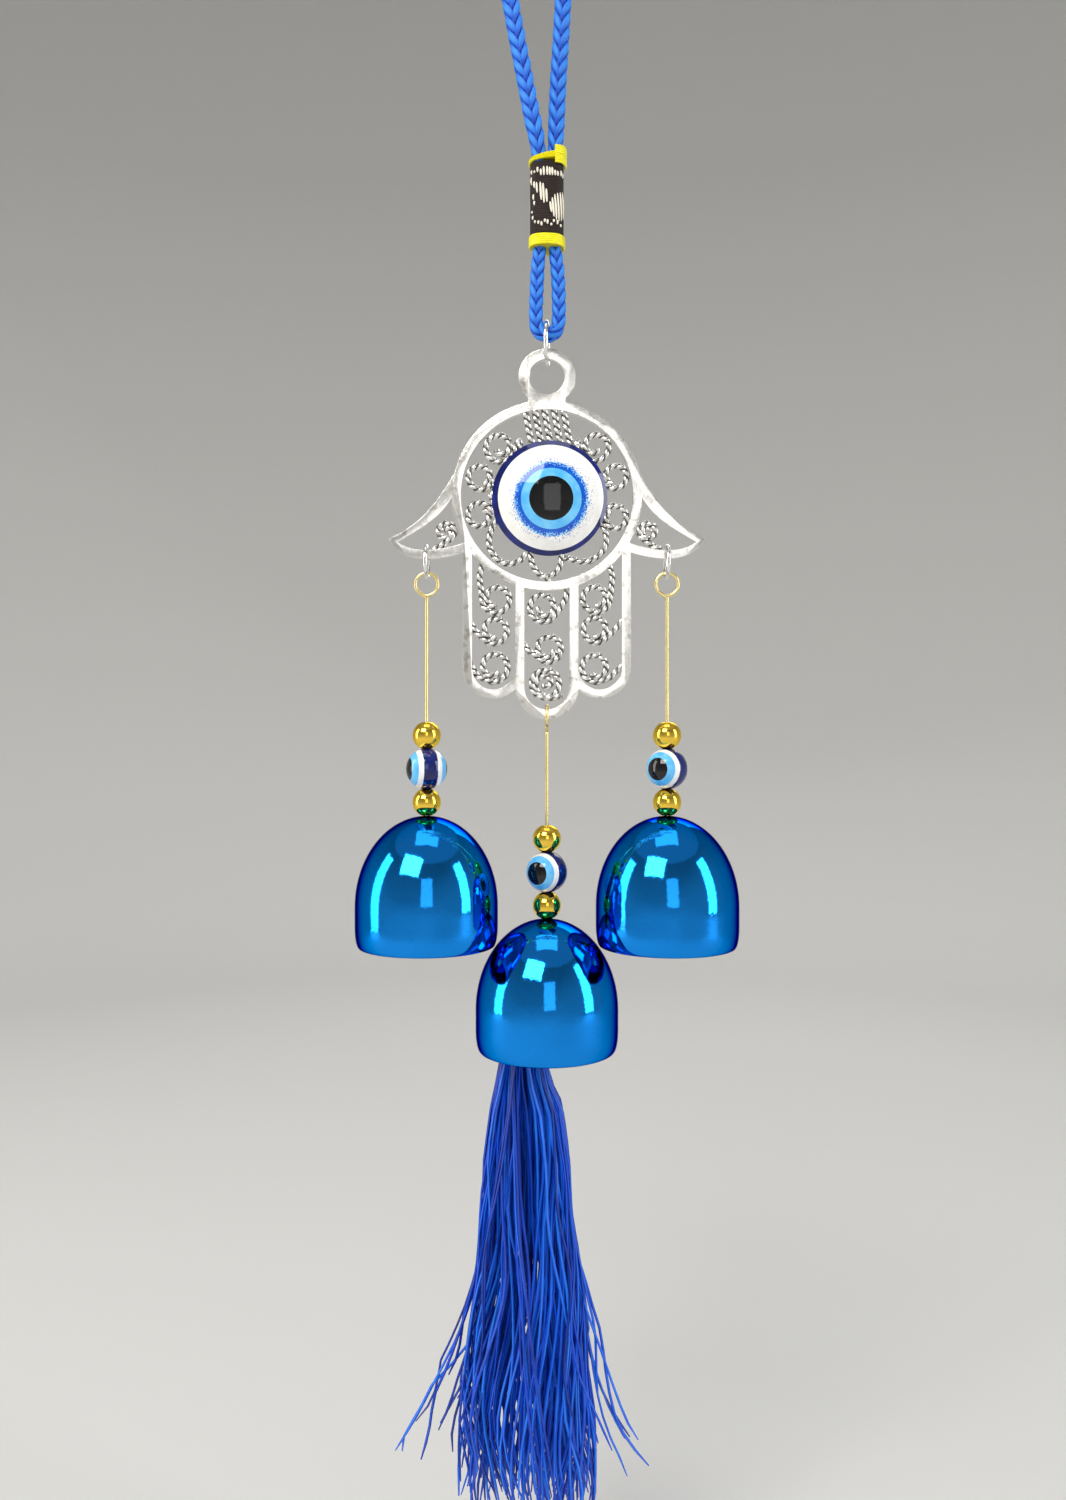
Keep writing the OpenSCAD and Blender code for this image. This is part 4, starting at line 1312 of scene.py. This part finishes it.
    def build_palm(self) -> None:
        """Scrolls round the eye, and the bundle of straight twists above it."""
        shell = Shell()
        for seed, (coil, tail) in enumerate(self.palm_scrolls):
            self.scroll(shell, coil, tail, seed)
        self.line(shell, [(-13.2, -6.4), (-14.9, -9.4), (-15.4, -13.2), (-13.6, -16.6), (-10.6, -18.2),
                          (-7.4, -17.4), (-5.6, -15.6)], 11)
        self.line(shell, [(13.9, -6.6), (15.6, -9.8), (15.6, -13.4), (13.4, -16.2), (10.2, -17.6),
                          (4.9, -16.6)], 12)
        self.line(shell, [(-4.4, -14.8), (-4.0, -18.0), (-2.2, -20.8), (0.2, -21.6), (2.4, -20.4),
                          (3.7, -18.2), (3.9, -14.8)], 13)
        self.line(shell, [(0.2, -21.4), (0.4, -23.2)], 14)
        for strand in range(5):
            x = -5.0 + 2.55 * strand
            reach = math.sqrt(self.palm_radius ** 2 - (x - 0.9) ** 2) + 0.4
            self.line(shell, [(x + 1.1, 13.6), (x + 0.2, 17.2), (x - 0.3, 20.0), (x - 0.9, reach)],
                      20 + strand, self.bundle_wire)
        fit(shell.build("palm_twists"), TWIST, self.body, "palm_filigree")

    def build_fingers(self) -> None:
        """Three scrolls in each finger."""
        for finger, (seed, scrolls) in self.finger_scrolls.items():
            shell = Shell()
            for place, (coil, tail) in enumerate(scrolls):
                self.scroll(shell, coil, tail, seed + place)
            fit(shell.build(f"{finger}_finger_twists"), TWIST, self.body, f"{finger}_finger_filigree")

    def build_thumbs(self) -> None:
        """One scroll in each thumb, whose tail runs towards the tip."""
        for side, seed in ((-1, 41), (1, 42)):
            shell = Shell()
            self.scroll(shell, (side * 26.8, -9.6, 3.1, 1.5, 90 + side * 140, side * 1.6),
                        [(side * 28.0, -13.2), (side * 30.2, -14.3)], seed)
            word = "left" if side < 0 else "right"
            fit(shell.build(f"{word}_thumb_twist"), TWIST, self.body, f"{word}_thumb_filigree")

    def build_seat(self) -> None:
        """A pressed cup behind the eye, with a raised edge and a dimpled middle."""
        low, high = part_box("eye_seat")
        radius = (high.x - low.x) / 2
        thick = high.y - low.y
        round_edge = 0.3 * MM
        profile = [(0.0, thick * 0.35), (radius * 0.2, thick * 0.35), (radius * 0.3, thick * 0.55),
                   (radius * 0.86, thick * 0.55), (radius * 0.9, thick * 0.6), (radius * 0.92, thick),
                   (radius - round_edge, thick), (radius, thick - round_edge), (radius, round_edge),
                   (radius - round_edge, 0.0), (0.0, 0.0)]
        seat = turned("pressed_seat", profile, Vector((0, 0, 0)), 96, closed=False)
        settle(seat, (-math.pi / 2, 0.0, 0.0), ((low.x + high.x) / 2, low.y, (low.z + high.z) / 2))
        close_up(seat)
        smooth(seat, 40)
        fit(seat, CASTING, self.body, "eye_seat")

    def build(self) -> None:
        """Make the casting, the scrolls and the seat."""
        self.build_frame()
        self.build_palm()
        self.build_fingers()
        self.build_thumbs()
        self.build_seat()


@dataclass
class GlassEye:
    """The domed glass eye, laid up in five colours."""

    body: str = "hand"
    layer: float = 0.9 * MM
    around: int = 128

    def __post_init__(self) -> None:
        """Read the dome from its CAD node."""
        low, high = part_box("eye_base")
        self.rim_x, self.rim_z = (low.x + high.x) / 2, (low.z + high.z) / 2
        self.radius = (high.x - low.x) / 2
        self.back = high.y
        self.height = high.y - low.y
        pupil_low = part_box("eye_pupil")[0]
        self.height = max(self.height, self.back - pupil_low.y)
        self.dome = (self.radius ** 2 + self.height ** 2) / (2 * self.height)

    def depth(self, x: float, z: float) -> float:
        """Where the dome's surface is, at a place in front of the hand."""
        reach = (x - self.rim_x) ** 2 + (z - self.rim_z) ** 2
        return self.back - self.height + self.dome - math.sqrt(self.dome ** 2 - reach)

    def circle(self, node: str) -> tuple[float, float, float]:
        """Middle x and z and radius of a layer's outer edge."""
        low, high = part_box(node)
        return (low.x + high.x) / 2, (low.z + high.z) / 2, (high.x - low.x) / 2

    def ring(
        self, name: str, outer: Row, inner: Optional[Row], node: str, finish: Finish, floor: bool = False
    ) -> None:
        """Form one layer between two circles.

        Args:
            name: Name of the piece.
            outer: Middle and radius of its outer edge.
            inner: The same of its inner edge, or None for a disc.
            node: The CAD node it stands for.
            finish: Its glass.
            floor: Whether it reaches to the back of the eye.
        """
        clear_selection()
        bpy.ops.mesh.primitive_circle_add(vertices=self.around, radius=outer[2],
                                          location=(outer[0], outer[1], 0))
        piece = bpy.context.object
        piece.name = piece.data.name = name
        bpy.ops.object.transform_apply(location=True, rotation=True, scale=True)
        steps = 10
        target = inner or (outer[0], outer[1], 0.0)
        span = [(outer[i] + (target[i] - outer[i]) * k / steps) for k in range(steps + 1) for i in range(3)]
        circles = [span[i:i + 3] for i in range(0, len(span), 3)]
        bpy.ops.object.mode_set(mode="EDIT")
        bpy.ops.mesh.select_all(action="SELECT")
        for before, after in zip(circles, circles[1:]):
            shrink = max(after[2] / before[2], 0.001)
            shift = (after[0] - before[0], after[1] - before[1], 0.0)
            bpy.ops.mesh.extrude_edges_move()
            bpy.ops.transform.translate(value=shift)
            bpy.ops.transform.resize(value=(shrink, shrink, 1.0),
                                     center_override=(after[0], after[1], 0.0))
        if inner is None:
            bpy.ops.mesh.merge(type="CENTER")
        bpy.ops.object.mode_set(mode="OBJECT")
        for point in piece.data.vertices:
            x, z = point.co.x, point.co.y
            point.co = (x, self.depth(x, z), z)
        bpy.ops.object.mode_set(mode="EDIT")
        bpy.ops.mesh.select_all(action="SELECT")
        bpy.ops.mesh.extrude_region_move()
        bpy.ops.object.mode_set(mode="OBJECT")
        for point in piece.data.vertices:
            if point.select:
                point.co.y = self.back if floor else point.co.y + self.layer
        close_up(piece)
        smooth(piece, 40)
        fit(piece, finish, self.body, node)

    def build(self) -> None:
        """Form the rim and the four coloured layers."""
        rim = (self.rim_x, self.rim_z, self.radius)
        white, ring = self.circle("eye_white"), self.circle("eye_blue_ring")
        iris, pupil = self.circle("eye_iris"), self.circle("eye_pupil")
        self.ring("eye_navy_rim", rim, white, "eye_base", NAVY, floor=True)
        middle = (iris[0] / MM, 0.0, iris[1] / MM)
        flecked = replace(WHITE, middle=middle, bare_radius=13.0, close_radius=ring[2] / MM)
        speckled = replace(DEEP, middle=middle, bare_radius=iris[2] / MM, close_radius=ring[2] / MM)
        self.ring("eye_white_ring", white, ring, "eye_white", flecked)
        self.ring("eye_speckled_ring", ring, iris, "eye_blue_ring", speckled)
        self.ring("eye_sky_ring", iris, pupil, "eye_iris", LIGHT)
        self.ring("eye_black_pupil", pupil, None, "eye_pupil", BLACK)


# ---------------------------------------------------------------- drops


@dataclass
class Drop:
    """One drop: a pin with an eye at each end, two gilt beads round an eye bead, and a bell."""

    side: Side
    # Direction that the bead's first eye faces, in degrees anticlockwise from the right, seen from above
    look: float
    pupil: float = 33.0
    iris: float = 55.0
    white: float = 70.0
    pin_wire: float = 0.95 * MM
    # Outside widths of the pin's two eyes, and the wire width that they are bent for
    top_eye: float = 6.9 * MM
    foot_eye: float = 5.0 * MM
    bend_wire: float = 0.9 * MM
    bead_radius: float = 5.5 * MM
    bead_core: float = 4.9 * MM
    glass_layer: float = 0.55 * MM
    bore: float = 0.8 * MM

    def own(self, part: str) -> str:
        """This drop's name of a part: a CAD node, a body or a piece."""
        return f"{self.side.value}_{part}"

    def build_pin(self) -> None:
        """Bend a wire into an eye at each end."""
        low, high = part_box(self.own("eye_pin"))
        x = (low.x + high.x) / 2
        plane = Plane.EDGE_ON if self.side is Side.MIDDLE else Plane.FLAT
        top_radius = (self.top_eye - self.bend_wire) / 2
        foot_radius = (self.foot_eye - self.bend_wire) / 2
        top = Vector((x, 0.0, high.z - self.bend_wire / 2 - top_radius))
        foot = Vector((x, 0.0, low.z + self.bend_wire / 2 + foot_radius))
        route = ring_route(top, top_radius, -122, 222, plane, 44)
        neck = 0.7 * MM
        route += [(x, 0.0, top.z - top_radius - neck), (x, 0.0, top.z - top_radius - 2 * neck)]
        shaft_end = foot.z + foot_radius + 2 * neck
        steps = 12
        shaft_top = top.z - top_radius - 3 * neck
        route += [(x, 0.0, shaft_top + (shaft_end - shaft_top) * k / steps) for k in range(steps + 1)]
        route += ring_route(foot, foot_radius, 90, 415, Plane.FLAT, 36)
        dense = smooth_route(route, 0.35 * MM)
        shell = Shell()
        normal = Vector((0, 1, 0)) if plane is Plane.FLAT else Vector((1, 0.4, 0))
        shell.wire(dense, self.pin_wire / 2, normal)
        fit(shell.build(self.own("bent_pin")), PIN, self.own("pin"), self.own("eye_pin"))

    def build_gilt_beads(self) -> None:
        """Two round beads with a bore."""
        for part, body in (("upper_bead", "top_bead"), ("lower_bead", "low_bead")):
            low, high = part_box(self.own(part))
            radius, half = (high.x - low.x) / 2, (high.z - low.z) / 2
            start = math.degrees(math.acos(half / radius))
            profile = [(self.bore, half)] + arc_profile(radius, start, 180 - start, 28) + [(self.bore, -half)]
            bead = turned(self.own(f"gilt_{part}"), profile, (low + high) / 2, 64)
            smooth(bead, 40)
            fit(bead, GILT, self.own(body), self.own(part))

    def zone(
        self, name: str, from_angle: float, to_angle: float, centre: Vector, turn: float
    ) -> bpy.types.Object:
        """A shell of glass between two angles about one eye's axis.

        Args:
            name: Name of the piece.
            from_angle: Inner angle in degrees.
            to_angle: Outer angle.
            centre: Middle of the bead.
            turn: Direction of the eye's axis, in degrees.

        Returns:
            The piece.
        """
        steps = max(6, round((to_angle - from_angle) / 3))
        outside = arc_profile(self.bead_radius, from_angle, to_angle, steps)
        inside = arc_profile(self.bead_radius - self.glass_layer, to_angle, from_angle, steps)
        piece = turned(name, outside + inside, Vector((0, 0, 0)), 64, closed=from_angle > 0)
        settle(piece, (0.0, math.pi / 2, math.radians(turn)), centre)
        return piece

    def build_eye_bead(self) -> None:
        """Navy bead with two eyes: a black pupil in sky blue in white."""
        low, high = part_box(self.own("eye_bead"))
        centre = (low + high) / 2
        belt = arc_profile(self.bead_radius, self.white, 180 - self.white, 20)
        core = arc_profile(self.bead_core, 180 - self.white, self.white, 20)
        end = self.bead_core * math.cos(math.radians(self.white))
        profile = belt + core[:1] + [(0.0, -end), (0.0, end)] + core[-1:]
        base = turned(self.own("bead_body"), profile, Vector((0, 0, 0)), 96)
        settle(base, (0.0, math.pi / 2, math.radians(self.look)), centre)
        close_up(base)
        bpy.ops.mesh.primitive_cylinder_add(vertices=32, radius=self.bore, depth=20 * MM, location=centre)
        drill = bpy.context.object
        add_modifier(base, "BOOLEAN", operation="DIFFERENCE", object=drill, solver="EXACT")
        bpy.data.objects.remove(drill)
        smooth(base, 35)
        fit(base, NAVY, self.own("eye"), self.own("eye_bead"))
        layers = (("whites", self.iris, self.white, BEAD_WHITE), ("irises", self.pupil, self.iris, LIGHT),
                  ("pupils", 0.0, self.pupil, BLACK))
        for part, start, stop, finish in layers:
            made = [self.zone(self.own(f"{part}_{turn}"), start, stop, centre, self.look + turn)
                    for turn in (0, 180)]
            pick(made[0])
            made[1].select_set(True)
            bpy.ops.object.join()
            piece = bpy.context.object
            piece.name = piece.data.name = self.own(f"glass_{part}")
            close_up(piece)
            smooth(piece, 35)
            fit(piece, finish, self.own("eye"), self.own(f"bead_{part}"))

    def build_bell(self) -> None:
        """A deep bell with a domed crown and a rim that turns in."""
        low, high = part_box(self.own("bell"))
        radius, tall = (high.x - low.x) / 2, high.z - low.z
        wall, bore, lip_rise = 0.8 * MM, 0.7 * MM, 0.4 * MM
        dome = 0.69 * tall
        mouth, turn_in = 0.94 * radius, 0.16 * tall

        def side_line(shrink: float) -> list[tuple[float, float]]:
            """Profile from the crown to the mouth, moved in by a wall."""
            line = []
            for step in range(1, 25):
                angle = math.pi / 2 * step / 24
                line.append(((radius - shrink) * math.sin(angle), -dome + (dome - shrink) * math.cos(angle)))
            for step in range(1, 4):
                line.append((radius - shrink, -dome - (tall - turn_in - dome) * step / 4))
            for step in range(9):
                angle = math.pi / 2 * step / 8
                raised = lip_rise if shrink and step == 8 else 0.0
                line.append((mouth - shrink + (radius - mouth) * math.cos(angle),
                             -tall + turn_in * (1 - math.sin(angle)) + raised))
            return line

        outside, inside = side_line(0.0), side_line(wall)
        lip = (mouth - wall * 0.5, -tall)
        profile = [(bore, 0.0)] + outside + [lip] + list(reversed(inside)) + [(bore, -wall)]
        bell = turned(self.own("blue_bell"), profile, Vector(((low.x + high.x) / 2, 0.0, high.z)), 128)
        smooth(bell, 50)
        fit(bell, BELL, self.own("bell"), self.own("bell"))

    def build_clapper(self) -> None:
        """A pear-shaped clapper on a bent wire."""
        low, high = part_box(self.own("clapper_wire"))
        x, loop = (low.x + high.x) / 2, 1.6 * MM
        top = Vector((x, 0.0, high.z - 0.4 * MM - loop))
        route = ring_route(top, loop, -118, 216, Plane.EDGE_ON, 30)
        route += [(x, 0.0, top.z - loop - 0.7 * MM), (x, 0.0, top.z - loop - 1.6 * MM)]
        start = top.z - loop - 2.4 * MM
        route += [(x, 0.0, start + (low.z - start) * k / 6) for k in range(7)]
        dense = smooth_route(route, 0.35 * MM)
        shell = Shell()
        shell.wire(dense, 0.4 * MM, Vector((1, 0.3, 0)), sides=10)
        fit(shell.build(self.own("clapper_hook")), PIN, self.own("clapper"), self.own("clapper_wire"))
        low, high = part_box(self.own("clapper_ball"))
        radius = (high.x - low.x) / 2
        profile = arc_profile(radius, 0, 180, 32)
        profile = [(r * (1.0 if z < 0 else 1 - 0.12 * (z / radius) ** 2), z) for r, z in profile]
        seam = 0.12 * MM
        profile = [(r - seam * math.exp(-(z / (0.25 * MM)) ** 2), z) for r, z in profile]
        ball = turned(self.own("clapper_bob"), profile, (low + high) / 2, 48, closed=False)
        smooth(ball, 40)
        fit(ball, CLAPPER, self.own("clapper"), self.own("clapper_ball"))

    def build(self) -> None:
        """Make the drop."""
        self.build_pin()
        self.build_gilt_beads()
        self.build_eye_bead()
        self.build_bell()
        if self.side is not Side.MIDDLE:
            self.build_clapper()


# ---------------------------------------------------------------- tassel


@dataclass
class Tassel:
    """A long tassel of loose filament threads that spreads below the middle bell."""

    body: str = "tassel"
    count: int = 300
    # Threads cling together in locks, which part and cross as they hang
    locks: int = 26
    thread: float = 0.72 * MM
    # Offset to the side, depth below the head as a share of the length, and radius, in millimetres
    shape: ClassVar[list[Row]] = [
        (0, 0, 3.4), (-3, 0.05, 4.2), (-6.2, 0.11, 5.7), (-6.4, 0.16, 6.5), (-5.4, 0.22, 9.4),
        (-5.4, 0.32, 11.3), (-5.6, 0.42, 12.1), (-4.6, 0.54, 13.9), (-4.8, 0.67, 16.5), (-5.2, 0.8, 18),
        (-5.4, 0.93, 18.2), (-5.4, 1, 17.4),
    ]
    flat: float = 0.72
    flyaways: int = 22

    def outline(self, share: float) -> tuple[float, float]:
        """Offset and radius at a share of the length."""
        for above, below in zip(self.shape, self.shape[1:]):
            if share <= below[1]:
                part = (share - above[1]) / (below[1] - above[1])
                return above[0] + (below[0] - above[0]) * part, above[2] + (below[2] - above[2]) * part
        return self.shape[-1][0], self.shape[-1][2]

    def build_threads(self) -> None:
        """Hang the threads, each with its own place, length and slight wave."""
        low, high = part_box("tassel_threads")
        top, length = high.z, high.z - low.z
        x_axis = centre_of("tassel_head").x
        draw = random.Random(11)
        shell = Shell()
        rings = 22
        locks = [
            (draw.uniform(0, TURN), math.sqrt(draw.uniform(0.02, 1.0)), draw.uniform(1.6, 4.2) * MM,
             draw.uniform(0, TURN), draw.uniform(1.0, 2.4), draw.uniform(-1.6, 1.6))
            for _ in range(self.locks)
        ]
        for thread in range(self.count):
            lock_angle, lock_reach, lock_sway, lock_phase, lock_waves, lock_twist = locks[thread % self.locks]
            angle = lock_angle + draw.uniform(-0.55, 0.55)
            reach = min(1.0, max(0.05, lock_reach + draw.uniform(-0.22, 0.22)))
            own = draw.uniform(0.86, 1.0) if thread % 9 else draw.uniform(0.76, 0.9)
            sway, phase, waves = draw.uniform(0.5, 2.4) * MM, draw.uniform(0, TURN), draw.uniform(1.0, 3.4)
            stray = 0.0
            if thread < self.flyaways:
                stray = draw.uniform(12, 27) * MM * (-1 if thread % 2 else 1)
                reach = draw.uniform(0.85, 1.0)
                angle = (math.pi if stray < 0 else 0.0) + draw.uniform(-0.5, 0.5)
            stops = []
            for ring in range(rings):
                share = own * ring / (rings - 1)
                shift, radius = self.outline(share)
                out = max(0.0, share - 0.45) ** 2 * 3.0
                wave = sway * share * math.sin(TURN * waves * share + phase)
                wave += lock_sway * share * math.sin(TURN * lock_waves * share + lock_phase)
                around = angle + lock_twist * share
                across = radius * MM * reach * math.cos(around) + wave
                across = max(-radius * MM, min(radius * MM, across))
                stops.append((
                    x_axis + shift * MM + across + stray * out,
                    self.flat * radius * MM * reach * math.sin(around) + wave * 0.4,
                    top - share * length + abs(stray) * out * 0.7,
                ))
            half = self.thread / 2 * draw.uniform(0.8, 1.1)
            tone = 0.62 + draw.uniform(-0.36, 0.36)
            sizes = [(half, half)] * (rings - 1) + [(half * 0.5, half * 0.5)]
            shell.strand(stops, [Vector((0, -1, 0))] * rings, sizes, [tone] * rings, 4)
        threads = shell.build("tassel_filaments")
        smooth(threads, 180)
        fit(threads, RAYON, self.body, "tassel_threads")

    def build_head(self) -> None:
        """Bind the head with turns of thread, and hang it by a twisted tie."""
        low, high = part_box("tassel_head")
        centre = (low + high) / 2
        radius = (high.x - low.x) / 2
        shell = Shell()
        turns, around = 14, 28
        line, outward, tones = [], [], []
        for step in range(turns * around + 1):
            share = step / (turns * around)
            angle = TURN * step / around
            swell = 1.0 - 0.18 * (2 * share - 1) ** 2
            away = Vector((math.cos(angle), math.sin(angle), 0.0))
            line.append((centre + away * (radius * swell - 0.35 * MM)
                         + Vector((0, 0, (0.5 - share) * (high.z - low.z - 0.7 * MM))))[:])
            outward.append(away)
            tones.append(0.5 + 0.1 * math.sin(7 * angle))
        shell.strand(line, outward, [(0.36 * MM, 0.33 * MM)] * len(line), tones, 6)
        tall = high.z - low.z - 0.4 * MM
        post = [(centre.x, centre.y, low.z + 0.2 * MM + tall * k / 4) for k in range(5)]
        core = radius - 0.8 * MM
        # The post inside the binding takes a low tone, as painted shade
        shell.strand(post, [Vector((0, 1, 0))] * 5, [(core, core)] * 5, [0.2] * 5, 24)
        fit(shell.build("bound_head"), RAYON, self.body, "tassel_head")
        low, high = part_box("tassel_tie")
        loop = 1.9 * MM
        top = Vector(((low.x + high.x) / 2, 0.0, high.z - 0.6 * MM - loop))
        rows = ring_route(top, loop, -90, 270, Plane.EDGE_ON, 36)
        rows += [(top.x, 0.0, top.z - loop - 0.6 * MM), (top.x, 0.0, low.z)]
        dense = smooth_route(rows, 0.25 * MM)
        tie = Shell()
        directions = headings(dense)
        for strand in range(3):
            line, outward = [], []
            for place, direction in enumerate(directions):
                angle = TURN * place * 0.25 / 2.2 + TURN * strand / 3
                side = Vector((1, 0, 0))
                across = direction.cross(side).normalized()
                away = side * math.cos(angle) + across * math.sin(angle)
                line.append((Vector(dense[place][:3]) + away * 0.27 * MM)[:])
                outward.append(away)
            tie.strand(line, outward, [(0.3 * MM, 0.28 * MM)] * len(line), [0.45] * len(line), 6)
        fit(tie.build("twisted_tie"), RAYON, self.body, "tassel_tie")

    def build(self) -> None:
        """Make the threads, the head and the tie."""
        self.build_threads()
        self.build_head()


# ---------------------------------------------------------------- the whole ornament


def main() -> None:
    """Build the studio and the ornament, in order."""
    logging.basicConfig(level=logging.INFO, format="%(name)s: %(message)s")
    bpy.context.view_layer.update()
    clear_selection()
    Studio().build()
    parts = [
        Hanger(),
        JumpRing("top_cut_ring", "top_jump_ring", "top_ring", turn=4.0, cut=-30.0),
        JumpRing("left_cut_ring", "left_thumb_ring", "left_ring", cut=40.0),
        JumpRing("right_cut_ring", "right_thumb_ring", "right_ring", cut=140.0),
        Hand(),
        GlassEye(),
        Drop(Side.LEFT, 19.0),
        Drop(Side.MIDDLE, 55.0),
        Drop(Side.RIGHT, 51.0),
        Tassel(),
    ]
    for part in parts:
        part.build()
        LOG.info("%s built", type(part).__name__)
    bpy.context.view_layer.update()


if __name__ == "__main__":
    main()
